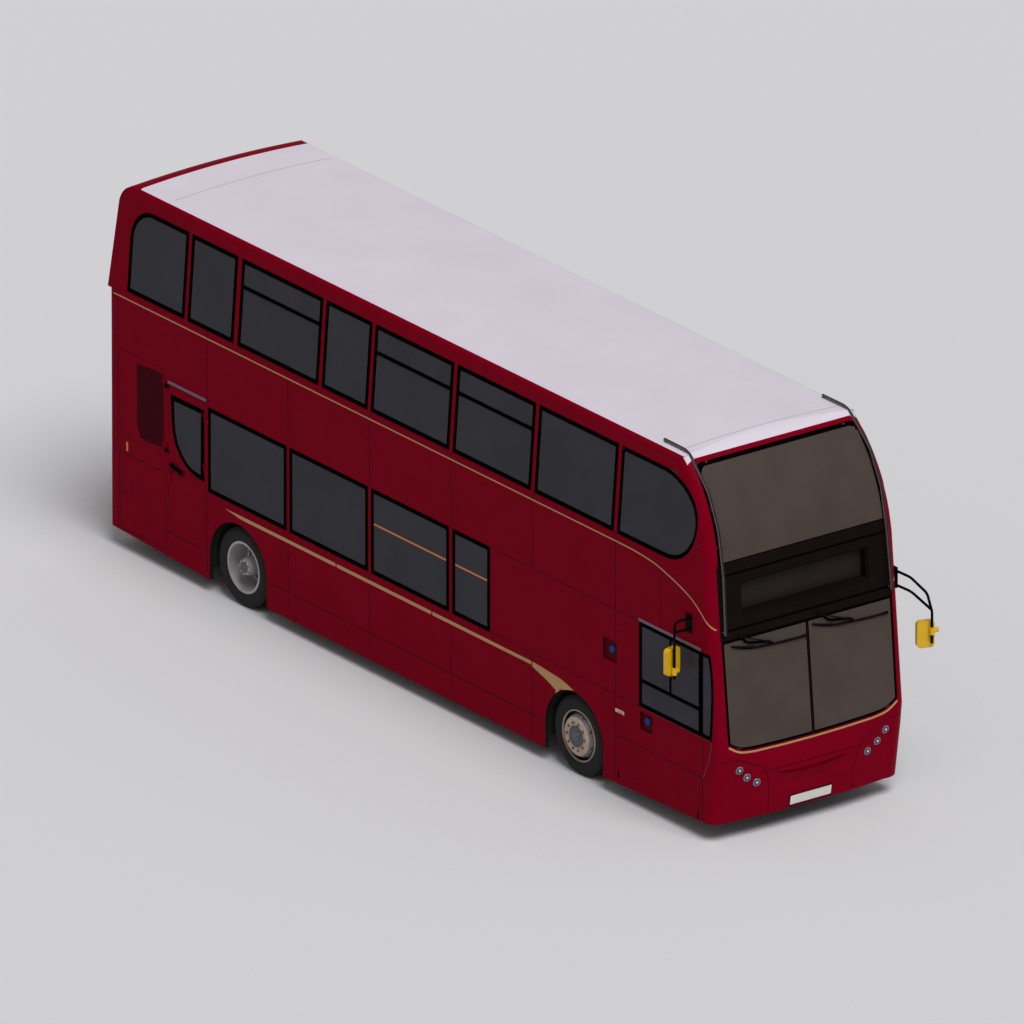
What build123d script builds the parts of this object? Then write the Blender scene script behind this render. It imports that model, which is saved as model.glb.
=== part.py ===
"""A double-decker bus: chassis, two-deck body shell, glazing, doors, seats, stairs and running gear.

Stations: x runs forward from the rear face of the body, y to the left (the entrance side), z up from the road.
save() moves every piece so that the origin is under the middle of the whole vehicle. Millimetres.
"""
from build123d import *
from math import atan, atan2, cos, degrees, pi, radians, sin, sqrt, tan
import os

os.makedirs("parts", exist_ok=True)

# ---------------------------------------------------------------- driving dimensions
body_length = 11165
body_width = 2550
mirror_reach = 205
crown_z = 4345
eave_z = 4300
waist_z = 3050
side_lean = 0.074
rear_lean = 0.11
wall = 50
glass = 8
fit = 0.5
panel_gap = 5

# front profile: lowest point, bulge, windscreen foot and windscreen head, then two dome arcs
front_foot = (11090, 222)
front_shin = (11145, 600)
front_bulge = (11165, 850)
front_brow = (11160, 1050)
front_head = (10947, 3178)
dome_radius = 1730
dome_end_angle = 46.5
front_corner_radius = 130
rear_corner_radius = 100
eave_radius = 80
rear_dome_radius = 280

# skirt line
skirt_z = 165
skirt_rear_z = 240
skirt_front_z = 216
skirt_front_x = 10830

# axles and wheels
rear_axle_x = 2400
wheelbase = 6135
tyre_radius = 460
tyre_width = 275
tyre_inset = 50
rim_radius = 286
twin_gap = 35
arch_radius = 527
kingpin_y = 1000

# decks
lower_floor_z = 340
platform_z = 625
platform_x = 3230
upper_floor_z = 2500
upper_floor_thickness = 70
floor_thickness = 40
deck_split_z = 2400
engine_bulkhead_x = 1085

front_axle_x = rear_axle_x + wheelbase
half_width = body_width / 2
inner_half = half_width - wall
overall_length = body_length + mirror_reach
rear_x = -overall_length / 2
roof_rear_x = 450
roof_front_x = 10407
roof_half = 1150
front_split = 105

lean_x = (front_brow[0] - front_head[0]) / (front_head[1] - front_brow[1])
lean_k = sqrt(1 + lean_x ** 2)


# ---------------------------------------------------------------- small helpers
def block(x0, x1, y0, y1, z0, z1):
    """Axis-aligned block between two corners."""
    return Pos((x0 + x1) / 2, (y0 + y1) / 2, (z0 + z1) / 2) * Box(x1 - x0, y1 - y0, z1 - z0)


def across(face, y0, y1):
    """Prism of a face drawn in (x, z), from y0 to y1."""
    return Pos(0, y1, 0) * extrude(Plane.XZ * face, y1 - y0)


def along(face, x0, x1):
    """Prism of a face drawn in (y, z), from x0 to x1."""
    return Pos(x0, 0, 0) * extrude(Plane.YZ * face, x1 - x0)


def upright(face, z0, z1):
    """Prism of a face drawn in (x, y), from z0 to z1."""
    return Pos(0, 0, z0) * extrude(face, z1 - z0)


def rod(start, end, radius):
    """Round bar between two points."""
    path = Line(start, end)
    return sweep(Plane(origin=path @ 0, z_dir=path % 0) * Circle(radius), path=path)


def tube_path(points, bends, radius):
    """Round bar along straight runs joined by tangent arcs."""
    path = FilletPolyline(*points, radius=bends)
    return sweep(Plane(origin=path @ 0, z_dir=path % 0) * Circle(radius), path=path)


def drum(y0, y1, radius, x, z):
    """Cylinder lying across the bus."""
    return Pos(x, (y0 + y1) / 2, z) * Rot(90, 0, 0) * Cylinder(radius, abs(y1 - y0))


def turned(face):
    """Solid of revolution about the Y axis, of a face drawn in (y, radius)."""
    return revolve(Plane.YZ * face, Axis.Y)


def post(x, y, z0, z1, radius):
    """Upright cylinder."""
    return Pos(x, y, (z0 + z1) / 2) * Cylinder(radius, z1 - z0)


def rounded(x0, x1, z0, z1, radius):
    """Rounded rectangle between two corners, in the drawing plane."""
    return Pos((x0 + x1) / 2, (z0 + z1) / 2) * RectangleRounded(x1 - x0, z1 - z0, radius)


def front_x(z):
    """Station of the leaning front face at height z."""
    return front_brow[0] - (z - front_brow[1]) * lean_x


def save(name, *shapes):
    """Write one node, moved so that the origin is under the middle of the vehicle."""
    solids = []
    for shape in shapes:
        solids.extend(shape.solids())
    placed = [solid.moved(Location((rear_x, 0, 0))) for solid in solids]
    part = placed[0] if len(placed) == 1 else Compound(children=placed)
    part.label = name
    export_step(part, f"parts/{name}.step")


# ---------------------------------------------------------------- body form
def side_section(bottom):
    """Cross-section of the body: upright sides, leaning upper deck, crowned roof."""
    lean_y = half_width - side_lean * (eave_z - waist_z)
    sides = Polyline(
        (-lean_y, eave_z), (-half_width, waist_z), (-half_width, bottom),
        (half_width, bottom), (half_width, waist_z), (lean_y, eave_z),
    )
    crown = ThreePointArc((lean_y, eave_z), (0, crown_z), (-lean_y, eave_z))
    face = make_face([sides, crown])
    return fillet(face.vertices().filter_by(lambda v: v.Y > eave_z - 1), eave_radius)


dome_centre = (front_head[0] - dome_radius / lean_k, front_head[1] - dome_radius * lean_x / lean_k)
dome_start = atan2(lean_x, 1)
dome_end = radians(dome_end_angle)


def on_dome(angle, inset=0):
    """Point of the front dome arc at an angle above the horizontal."""
    reach = dome_radius - inset
    return (dome_centre[0] + reach * cos(angle), dome_centre[1] + reach * sin(angle))


def long_profile(skirt):
    """Side profile of the body, from a list of points along its bottom edge."""
    dome_mid = on_dome((dome_start + dome_end) / 2)
    dome_tip = on_dome(dome_end)
    brow_radius = (crown_z - dome_tip[1]) / (1 - sin(dome_end))
    brow_centre = (dome_tip[0] - brow_radius * cos(dome_end), crown_z - brow_radius)
    turn = (dome_end + pi / 2) / 2
    brow_mid = (brow_centre[0] + brow_radius * cos(turn), brow_centre[1] + brow_radius * sin(turn))
    edges = [
        Polyline(*skirt),
        ThreePointArc(skirt[-1], front_shin, front_bulge),
        Line(front_bulge, front_brow),
        Line(front_brow, front_head),
        ThreePointArc(front_head, dome_mid, dome_tip),
        ThreePointArc(dome_tip, brow_mid, (brow_centre[0], crown_z)),
        Polyline(
            (brow_centre[0], crown_z), (rear_lean * (crown_z - waist_z), crown_z), (0, waist_z), skirt[0]
        ),
    ]
    return make_face(edges)


def spandrel(radius, spare=40):
    """What a rounded corner takes off a square one. The corner is at the origin, the body below and left."""
    inner = -radius * (1 - sqrt(0.5))
    arc = ThreePointArc((0, -radius), (inner, inner), (-radius, 0))
    return make_face(
        [arc, Polyline((-radius, 0), (-radius, spare), (spare, spare), (spare, -radius), (0, -radius))]
    )


def front_corner_cutters(inset):
    """Cutters that round the left front corner: foot, upright and dome."""
    radius = front_corner_radius - inset
    y = half_width - inset
    low = front_bulge[1] - 150
    high = waist_z + 12
    foot_x = front_x(low) - inset * lean_k
    upright_cut = extrude(
        Pos(foot_x, y, low) * spandrel(radius), amount=(high - low) * lean_k, dir=Vector(-lean_x, 0, 1)
    )
    tilt = atan(side_lean)
    side_plane = Plane(origin=(0, y, waist_z), x_dir=(1, 0, 0), z_dir=(0, -cos(tilt), -sin(tilt)))
    start = (front_x(waist_z - 15) - inset * lean_k, -15)

    def local(angle):
        point = on_dome(angle, inset)
        return (point[0], point[1] - waist_z)

    tip = local(dome_end)
    run_out = (tip[0] - 80 * sin(dome_end), tip[1] + 80 * cos(dome_end))
    path = Wire([
        side_plane * Line(start, local(dome_start)),
        side_plane * ThreePointArc(local(dome_start), local((dome_start + dome_end) / 2), tip),
        side_plane * Line(tip, run_out),
    ])
    heading = path % 0
    section = Plane(origin=path @ 0, x_dir=Vector(0, cos(tilt), sin(tilt)).cross(heading), z_dir=heading)
    return [upright_cut, sweep(section * spandrel(radius), path=path)]


def foot_corner_cutter(inset):
    """Cutter that bows the left half of the bumper in plan and rounds its corner."""
    y = half_width - inset
    spare = 120

    def outline(x, ease):
        bow = ThreePointArc((x + 3, 250), (x - 9 * ease, 650), (x - 46 * ease, y - 225))
        root = x - 46 * ease
        corner = ThreePointArc((root, y - 225), (root - 30, y - 60), (root - 100, y + 1))
        far = Polyline(
            (root - 100, y + 1), (root - 100, y + spare), (x + spare, y + spare), (x + spare, 250),
            (x + 3, 250)
        )
        return make_face([bow, corner, far])

    heights = [
        (100, front_foot[0] - 18, 1.0), (front_shin[1], front_shin[0], 1.0),
        (front_bulge[1], front_bulge[0] + 4, 0.7), (front_brow[1] + 80, front_brow[0] + 12, 0.1),
    ]
    faces = [Pos(0, 0, z) * outline(x - inset, ease) for z, x, ease in heights]
    cutter = loft(faces[:2], ruled=True)
    for low, high in zip(faces[1:], faces[2:]):
        cutter = cutter + loft([low, high], ruled=True)
    return cutter


def rear_dome_cutter(inset):
    """Cutter that rounds the top rear edge, turned about the rear face's normal to follow the roof's crown."""
    radius = rear_dome_radius - inset
    tilt = atan(rear_lean)
    foot = inset / cos(tilt)
    top = (foot + rear_lean * (crown_z - inset - waist_z), crown_z - inset)
    reach = radius * tan((pi / 2 - tilt) / 2)
    start = (top[0] - reach * sin(tilt), top[1] - reach * cos(tilt))
    end = (top[0] + reach, top[1])
    centre = (end[0], end[1] - radius)
    turn = (pi + pi / 2 - tilt) / 2
    middle = (centre[0] + radius * cos(turn), centre[1] + radius * sin(turn))
    spare = 150
    proud = 2
    start = (start[0] - proud, start[1])
    end = (end[0], end[1] + proud)
    face = make_face([
        ThreePointArc(start, middle, end),
        Polyline(end, (end[0], end[1] + spare), (-spare, end[1] + spare), (-spare, start[1]), start),
    ])
    crown_drop = (crown_z - eave_z) / cos(tilt)
    crown_half = half_width - side_lean * (eave_z - waist_z)
    crown_radius = (crown_half ** 2 + crown_drop ** 2) / (2 * crown_drop)
    hub = Vector(top[0] - crown_radius * sin(tilt), 0, top[1] - crown_radius * cos(tilt))
    axis = Axis(hub, (-cos(tilt), 0, sin(tilt)))
    sweep_angle = 2 * degrees(atan(crown_half / crown_radius)) + 1
    return revolve((Plane.XZ * face).rotate(axis, -sweep_angle / 2), axis, sweep_angle)


def body_form(inset):
    """The closed outer form of the body, or that form moved inward by inset and left open below."""
    if inset == 0:
        skirt = [
            (0, skirt_rear_z), (rear_axle_x - arch_radius, skirt_z), (front_axle_x + arch_radius, skirt_z),
            (skirt_front_x, skirt_front_z), front_foot,
        ]
        section = side_section(0)
        profile = long_profile(skirt)
    else:
        section = offset(side_section(-500), -inset)
        profile = offset(long_profile([(0, -500), (front_foot[0], -500)]), -inset)
    form = extrude(Plane.YZ * section, body_length + 500) & extrude(Plane.XZ * profile, body_width, both=True)
    rear_round = max(rear_corner_radius - inset, 5)
    square = Rectangle(rear_round, rear_round, align=(Align.MIN, Align.MAX))
    disc = Pos(rear_round, -rear_round) * Circle(rear_round)
    rear_cut = upright(Pos(inset, half_width - inset) * (square - disc), 0, waist_z)
    cutters = front_corner_cutters(inset) + [foot_corner_cutter(inset), rear_cut]
    for cutter in cutters:
        form = form - cutter - mirror(cutter, Plane.XZ)
    return form - rear_dome_cutter(inset)


# ---------------------------------------------------------------- windows and openings
window_corner = 70
window_border = 47
upper_sill_z = 3098
upper_head_z = 4100
lower_sill_z = 1200
lower_head_z = 2196
upper_bays = [(1472, 2308), (2393, 3869), (3938, 4769), (4834, 6257), (6328, 7741), (7812, 9235)]
rear_quarter = (361, 1408)
front_quarter = (9306, 10770)
lower_bays_right = [(1851, 3290), (3350, 4782), (4844, 6261), (6327, 7006)]
lower_bays_left = [(1851, 3290), (3350, 4782), (4844, 6261), (6327, 7741), (7812, 9235)]
cab_window = (9713, 11005)
quarter_radius = 440
rear_quarter_radius = 380
pane_gap = 1

screen_head_z = front_head[1] - 837
screen_half = 1155
screen_side_z = 1183
screen_foot_z = 1050
dome_sill_z = front_head[1] + 12
dome_head_z = 4225
dome_half = 1140
dome_top_half = 1070
dome_corner = 190
display_half = 870
filler_places = [(9054, 9304, 1568, 1817), (9724, 9946, 945, 1155)]
pocket_depth = 22
cap_radius = 40
smile_half = 484
smile_z = 705
smile_drop = 75
display_z = (2584, 2964)
rear_window = (800, 3170, 3990)

door_rear_x = 9660
door_front_x = 10860
door_foot_z = 320
door_head_z = 2270
emergency_x = (1112, 1795)
emergency_z = (633, 2250)
grille_x = (214, 1064)
grille_z = (1365, 2382)
cover_half = 900
cover_z = (450, 1420)


def bay(x0, x1, z0, z1, shrink=0.0):
    """Window outline with rounded corners, in (x, z)."""
    radius = max(window_corner - shrink, 12)
    return rounded(x0 + shrink, x1 - shrink, z0 + shrink, z1 - shrink, radius)


def shaped_bay(x0, x1, z0, z1, radii, shrink=0.0):
    """Window outline whose corners (rear foot, front foot, front head, rear head) have their own radii."""
    face = make_face(Polyline(
        (x0 + shrink, z0 + shrink), (x1 - shrink, z0 + shrink), (x1 - shrink, z1 - shrink),
        (x0 + shrink, z1 - shrink), (x0 + shrink, z0 + shrink),
    ))
    corners = [(x0, z0), (x1, z0), (x1, z1), (x0, z1)]
    for (cx, cz), radius in zip(corners, radii):
        near = face.vertices().sort_by(lambda v, cx=cx, cz=cz: (v.X - cx) ** 2 + (v.Y - cz) ** 2)[0]
        face = fillet(near, max(radius - shrink, 12))
    return face


def side_outlines(left, shrink=0.0):
    """All the window outlines of one side, in (x, z)."""
    small = window_corner
    faces = [bay(x0, x1, upper_sill_z, upper_head_z, shrink) for x0, x1 in upper_bays]
    faces.append(
        shaped_bay(
            *rear_quarter, upper_sill_z, upper_head_z, (small, small, small, rear_quarter_radius), shrink
        )
    )
    faces.append(shaped_bay(
        *front_quarter, upper_sill_z, upper_head_z, (small, quarter_radius, quarter_radius, small), shrink
    ))
    bays = lower_bays_left if left else lower_bays_right
    faces += [bay(x0, x1, lower_sill_z, lower_head_z, shrink) for x0, x1 in bays]
    if not left:
        faces.append(shaped_bay(*cab_window, lower_sill_z, lower_head_z, (small, small, 160, small), shrink))
    return faces


def screen_outline(shrink=0.0):
    """Outline of the driver's windscreen, in (y, z)."""
    half = screen_half - shrink
    head = screen_head_z - shrink
    knee = (800 - shrink, 1068 + shrink)
    side = (half - 8, screen_side_z + shrink)
    edges = [
        Polyline((-side[0], side[1]), (-half, head), (half, head), side),
        ThreePointArc(side, ((side[0] + knee[0]) / 2 + 22, (side[1] + knee[1]) / 2 - 22), knee),
        ThreePointArc(knee, (0, screen_foot_z + shrink), (-knee[0], knee[1])),
        ThreePointArc(
            (-knee[0], knee[1]), (-(side[0] + knee[0]) / 2 - 22, (side[1] + knee[1]) / 2 - 22),
            (-side[0], side[1])
        ),
    ]
    return make_face(edges)


def dome_outline(shrink=0.0):
    """Outline of the upper windscreen, in (y, z)."""
    foot = dome_sill_z + shrink
    head = dome_head_z - shrink
    face = make_face(Polyline(
        (-dome_half + shrink, foot), (dome_half - shrink, foot), (dome_top_half - shrink, head),
        (-dome_top_half + shrink, head), (-dome_half + shrink, foot),
    ))
    top = face.vertices().filter_by(lambda v: v.Y > head - 1)
    return fillet(top, dome_corner)


def side_prism(faces, left):
    """Outlines of one side, swept through that side's wall."""
    lift = 150
    span = (half_width - lift, half_width + 60) if left else (-half_width - 60, -half_width + lift)
    return [across(face, *span) for face in faces]


def take(shape, tools):
    """A shape less a list of tools."""
    for tool in tools:
        shape = shape - tool
    return shape


def arch_outline(axle, radius):
    """Wheel arch: a half round on upright sides, in (x, z)."""
    return Pos(axle, tyre_radius) * Circle(radius) + Pos(axle, tyre_radius - 300) * Rectangle(2 * radius, 600)


# ---------------------------------------------------------------- shell panels
everything = 3000
outer_form = body_form(0)
glass_back = body_form(glass)
inner_form = body_form(wall)
floor_form = body_form(wall + fit)
shell = outer_form - inner_form
glass_skin = outer_form - glass_back

cap_profile = offset(long_profile([(0, -500), (front_foot[0], -500)]), -front_split)
cap_inside = extrude(Plane.XZ * cap_profile, body_width, both=True)

right_openings = side_prism(side_outlines(False, window_border), False)
right_openings += [
    block(*emergency_x, -half_width - 60, -half_width + 150, *emergency_z),
    block(*grille_x, -half_width - 60, -half_width + 150, *grille_z),
]
left_openings = side_prism(side_outlines(True, window_border), True)
left_openings.append(block(door_rear_x, door_front_x, half_width - 150, half_width + 60, 0, door_head_z))
right_rebates = side_prism(side_outlines(False), False)
left_rebates = side_prism(side_outlines(True), True)
screen_prism = along(screen_outline(), 10600, 11400)
screen_opening = along(screen_outline(window_border), 10600, 11400)
dome_prism = along(dome_outline(), 10300, 11400)
dome_opening = along(dome_outline(window_border), 10300, 11400)
rear_pane_face = rounded(-rear_window[0], rear_window[0], rear_window[1], rear_window[2], window_corner)
rear_open_face = rounded(
    -rear_window[0] + window_border, rear_window[0] - window_border,
    rear_window[1] + window_border, rear_window[2] - window_border, window_corner - window_border + 12,
)
rear_prism = along(rear_pane_face, -60, 190)
rear_opening = along(rear_open_face, -60, 190)
filler_pockets = [
    across(rounded(*place, 18), -half_width - 20, -half_width + pocket_depth) for place in filler_places
]
wheel_arches = [
    across(arch_outline(x, arch_radius), y - 300, y + 300)
    for x in (rear_axle_x, front_axle_x) for y in (-half_width, half_width)
]

roof_zone = block(roof_rear_x, roof_front_x, -roof_half, roof_half, 4100, 4500)
rear_zone = block(-50, 200, -everything, everything, 0, 4500) + block(
    -50, roof_rear_x, -roof_half, roof_half, 3700, 4500
)
front_low_zone = block(10849, 11400, -everything, everything, 0, lower_sill_z - 10)
side_zone = block(200, 11400, roof_half, everything, 0, 4500) & (
    cap_inside + block(200, roof_front_x, roof_half, everything, 0, 4500)
)
side_zone = side_zone - front_low_zone
front_zone = block(roof_front_x, 11400, -everything, everything, 0, 4500)
front_zone = front_zone - side_zone - mirror(side_zone, Plane.XZ)

roof_panel = shell & roof_zone
save("roof_panel", roof_panel)

for name, left in (("right", False), ("left", True)):
    zone = side_zone if left else mirror(side_zone, Plane.XZ)
    panel = shell & zone
    panel = take(panel, left_openings if left else right_openings)
    skin = glass_skin & zone
    rebates = left_rebates if left else right_rebates
    pane_cuts = [skin & prism for prism in rebates]
    panel = take(panel, pane_cuts)
    panel = take(panel, wheel_arches)
    if not left:
        panel = take(panel, filler_pockets)
    save(f"side_upper_{name}", panel & block(0, 11400, -everything, everything, deck_split_z, 4500))
    save(f"side_lower_{name}", panel & block(0, 11400, -everything, everything, 0, deck_split_z))
    panes = [skin & prism for prism in side_prism(side_outlines(left, pane_gap), left)]
    save(f"side_windows_{name}", *panes)

front = take(shell & front_zone, [screen_opening, dome_opening])
front = take(front, [glass_skin & screen_prism, glass_skin & dome_prism, left_openings[-1]])
band_half = 1168
post_zone = block(10300, 11400, -everything, everything, screen_head_z + 4 + fit, dome_sill_z - 12)
band_zone = block(10300, 11400, -band_half, band_half, screen_head_z + 4, dome_sill_z - 12)
display_box = block(10300, 11400, -display_half, display_half, *display_z)
lamp_places = [(994, 846), (887, 735), (753, 648)]
lamp_radius = 40
lamps = []
for side in (-1, 1):
    for y, z in lamp_places:
        lens = Pos(11300, side * y, z) * Rot(0, 90, 0) * Cylinder(lamp_radius, 600)
        lamps.append(lens & (outer_form - body_form(12)))
front = take(front, lamps)
smile_face = make_face([
    ThreePointArc((-smile_half, smile_z), (0, smile_z - smile_drop), (smile_half, smile_z)),
    ThreePointArc((smile_half, smile_z), (0, smile_z - smile_drop / 4), (-smile_half, smile_z)),
])
smile = along(smile_face, 10900, 11400) - body_form(pocket_depth)
front_low = (front & block(10300, 11400, -everything, everything, 0, screen_head_z + 4)) - smile
front_posts = (front & post_zone) - band_zone
save("front_panel", front_low, front_posts)
save("front_band", (front & band_zone) - display_box)
save("front_dome", front & block(10300, 11400, -everything, everything, dome_sill_z - 12, 4500))
screen = glass_skin & along(screen_outline(pane_gap), 10600, 11400)
divider = block(10600, 11400, -3, 3, 0, 4500)
save("windscreens", screen - divider, glass_skin & along(dome_outline(pane_gap), 10300, 11400))

display_back = front_x(display_z[1]) - 110
display_wall = 25
display_shell = block(
    display_back, 11400, -display_half + fit, display_half - fit, display_z[0] + fit, display_z[1] - fit,
)
display_hollow = block(
    display_back + display_wall, 11400, -display_half + display_wall, display_half - display_wall,
    display_z[0] + display_wall, display_z[1] - display_wall,
)
save("destination_display", (display_shell & body_form(14)) - display_hollow)

rear = take(shell & rear_zone, [rear_opening, glass_skin & rear_prism])
rear = rear - block(-50, 190, -cover_half, cover_half, *cover_z)
rear_lamp_y = 1080
rear_lamps = [
    Pos(6, side * rear_lamp_y, z) * Rot(0, 90, 0) * Cylinder(48, 12)
    for side in (-1, 1) for z in (760, 880, 1000, 1120)
]
rear = take(rear, rear_lamps)
save("lamps", *lamps, *rear_lamps)
save("rear_panel", rear)
save("rear_window", glass_skin & along(
    rounded(-rear_window[0] + pane_gap, rear_window[0] - pane_gap, rear_window[1] + pane_gap,
            rear_window[2] - pane_gap, window_corner - pane_gap), -60, 190))

# ---------------------------------------------------------------- chassis, floors and engine
rail_y = 430
rail_width = 70
low_rail_z = (235, 300)
high_rail_z = (520, 585)
floor_low_z = lower_floor_z - floor_thickness
platform_low_z = platform_z - floor_thickness
wheel_box_wall = 12
front_box_inner = 640
rear_box_inner = 600
stairwell = (8110, 9700, -600)
floor_front_x = 10880
step_x = platform_x + 320
step_z = (lower_floor_z + platform_z) / 2


def wheel_box(axle, inner):
    """Box over one left wheel, open to the arch and to the road."""
    outside = across(arch_outline(axle, arch_radius + wheel_box_wall), inner, inner_half - fit)
    inside = across(arch_outline(axle, arch_radius), inner + wheel_box_wall, half_width)
    return (outside - inside) & block(0, body_length, 0, half_width, floor_low_z, crown_z)


def wheel_box_space(axle, inner):
    """What the wheel box takes out of the floor."""
    solid = across(arch_outline(axle, arch_radius + wheel_box_wall + fit), inner - fit, half_width)
    return solid + mirror(solid, Plane.XZ)


axle_slot = block(rear_axle_x - 130, rear_axle_x + 130, 0, rear_box_inner + 60, 0, 600)
boxes = [wheel_box(rear_axle_x, rear_box_inner) - axle_slot, wheel_box(front_axle_x, front_box_inner)]
box_spaces = [wheel_box_space(rear_axle_x, rear_box_inner), wheel_box_space(front_axle_x, front_box_inner)]
save("wheel_boxes", *boxes, *[mirror(box, Plane.XZ) for box in boxes])

low_floor = block(platform_x, floor_front_x, -everything, everything, floor_low_z, lower_floor_z)
platform = block(
    engine_bulkhead_x, platform_x + floor_thickness, -everything, everything, platform_low_z, platform_z
)
riser = block(platform_x, platform_x + floor_thickness, -everything, everything, floor_low_z, platform_low_z)
step = block(platform_x + floor_thickness, step_x, -everything, everything, lower_floor_z, step_z)
lower_floor = take((low_floor + platform + riser + step) & floor_form, box_spaces)
sill = block(
    door_rear_x + fit, door_front_x - fit, inner_half - 60, half_width - 8, floor_low_z, lower_floor_z
)
lower_floor = lower_floor + sill
save("lower_floor", lower_floor)

ceiling_z = upper_floor_z - upper_floor_thickness
bulkhead = block(
    engine_bulkhead_x - 30, engine_bulkhead_x - fit, -everything, everything, platform_low_z,
    ceiling_z - fit
)
save("engine_bulkhead", bulkhead & floor_form)

upper_floor = block(0, body_length, -everything, everything, ceiling_z, upper_floor_z) & floor_form
upper_floor = upper_floor - block(*stairwell[:2], -everything, stairwell[2], 0, 4500)
save("upper_floor", upper_floor)


def rail(y):
    """One frame rail in three bolted lengths: high over the rear axle, a drop, and low to the front."""
    y0, y1 = y - rail_width / 2, y + rail_width / 2
    drop = make_face(Polyline(
        (drop_x, high_rail_z[0]), (platform_x - 110, low_rail_z[0]), (platform_x, low_rail_z[0]),
        (platform_x, high_rail_z[1]), (drop_x, high_rail_z[1]), (drop_x, high_rail_z[0]),
    ))
    high = block(60, drop_x - fit, y0, y1, *high_rail_z)
    low = block(platform_x + fit, floor_front_x, y0, y1, *low_rail_z)
    return [high, across(drop, y0, y1), low]


drop_x = platform_x - 270
inner_rail = rail_y - rail_width / 2
outer_rail = rail_y + rail_width / 2
outrigger_x = (3400, 4811, 6294, 7782, 9420, 10700)
outrigger_depth = 55
cross_x = (3400, 4811, 6294, 7600, 9420, 10700, floor_front_x - 35)
jack_places = ((1500, high_rail_z[0]), (7600, low_rail_z[0]))
half_frame = rail(rail_y)
for x in outrigger_x:
    half_frame.append(
        block(x - 30, x + 30, outer_rail + fit, inner_half - fit, floor_low_z - outrigger_depth, floor_low_z)
    )
for x in (1300, 3100):
    half_frame.append(
        block(x - 30, x + 30, outer_rail + fit, inner_half - fit, platform_low_z - outrigger_depth, platform_low_z)
    )
for x, z in jack_places:
    half_frame.append(block(x - 50, x + 50, rail_y - 50, rail_y + 50, z - 20, z - fit))
chassis = half_frame + [mirror(piece, Plane.XZ) for piece in half_frame]
for x in cross_x:
    chassis.append(block(x - 35, x + 35, -inner_rail + fit, inner_rail - fit, *low_rail_z))
for x in (1650, 3100):
    chassis.append(block(x - 35, x + 35, -inner_rail + fit, inner_rail - fit, *high_rail_z))
chassis.append(block(60, 110, -inner_half + 80, inner_half - 80, high_rail_z[0] - 60, high_rail_z[0] - fit))
tow_eye_x = floor_front_x + 60
tow_eye_z = 267
tow_eye = block(floor_front_x + fit, tow_eye_x, -30, 30, tow_eye_z - 15, tow_eye_z + 15)
tow_eye = tow_eye + Pos(tow_eye_x, 0, tow_eye_z) * Cylinder(45, 30)
chassis.append(tow_eye - Pos(tow_eye_x, 0, tow_eye_z) * Cylinder(22, 60))
save("chassis_frame", *chassis)

engine_half = 380
engine = block(150, 1010, -engine_half, engine_half, 370, 1300)
gearbox = block(1010, 1600, -230, 230, 360, high_rail_z[0] - 5)
mounts = [block(x, x + 80, engine_half, inner_rail, *high_rail_z) for x in (250, 850)]
engine_block = engine + gearbox
for mount in mounts:
    engine_block = engine_block + mount + mirror(mount, Plane.XZ)
save("engine_block", engine_block)

# ---------------------------------------------------------------- axles
axle_z = tyre_radius
low_axle_z = 370
running_gap = 0.3
rear_spindle = 60
rear_outer_face = half_width - tyre_inset
twin_inner_face = rear_outer_face - 2 * tyre_width - twin_gap
portal_y = (490, 620)
centre_tube = drum(-portal_y[1], portal_y[1], 70, rear_axle_x, low_axle_z)
bowl = Pos(rear_axle_x, -120, low_axle_z) * Sphere(150)
rear_axle = centre_tube + bowl
spring_x = 320
for side in (-1, 1):
    box = across(
        make_hull(
            [
                *(Pos(rear_axle_x, low_axle_z) * Circle(85)).edges(),
                *(Pos(rear_axle_x, axle_z) * Circle(105)).edges()
            ]
        ),
        *sorted((side * portal_y[0], side * portal_y[1])),
    )
    spindle = drum(side * portal_y[1], side * (rear_outer_face - 60), rear_spindle, rear_axle_x, axle_z)
    beam = block(rear_axle_x - spring_x - 60, rear_axle_x + spring_x + 60,
                 *sorted((side * (rail_y - 30), side * (rail_y + 30))), 285, 330)
    rear_axle = rear_axle + box + spindle + beam
    for dx in (-spring_x, spring_x):
        rear_axle = rear_axle + post(rear_axle_x + dx, side * rail_y, 330, high_rail_z[0], 60)
prop_shaft = Pos(
    (1600 + rear_axle_x) / 2, -120, low_axle_z + 60
) * Rot(0, 90, 0) * Cylinder(40, rear_axle_x - 1600)
save("rear_axle", rear_axle + prop_shaft)

kingpin_radius = 22
eye_half = 40
beam_low = (150, 230)
neck_y = (800, 880)
front_beam = block(front_axle_x - 45, front_axle_x + 45, -neck_y[1], neck_y[1], *beam_low)
for side in (-1, 1):
    neck = block(front_axle_x - 45, front_axle_x + 45, *sorted((side * neck_y[0], side * neck_y[1])),
                 beam_low[0], axle_z + eye_half)
    arm = block(front_axle_x - 38, front_axle_x + 38, *sorted((side * neck_y[1], side * kingpin_y)),
                axle_z - eye_half, axle_z + eye_half)
    eye = post(front_axle_x, side * kingpin_y, axle_z - eye_half, axle_z + eye_half, eye_half)
    pad = block(
        front_axle_x - 60, front_axle_x + 60, *sorted((side * (inner_rail + 5), side * (outer_rail - 5))),
        beam_low[1], low_rail_z[0],
    )
    front_beam = front_beam + neck + arm + eye + pad
    front_beam = front_beam - post(front_axle_x, side * kingpin_y, 0, 1000, kingpin_radius + 0.5)
save("front_axle_beam", front_beam)

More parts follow.
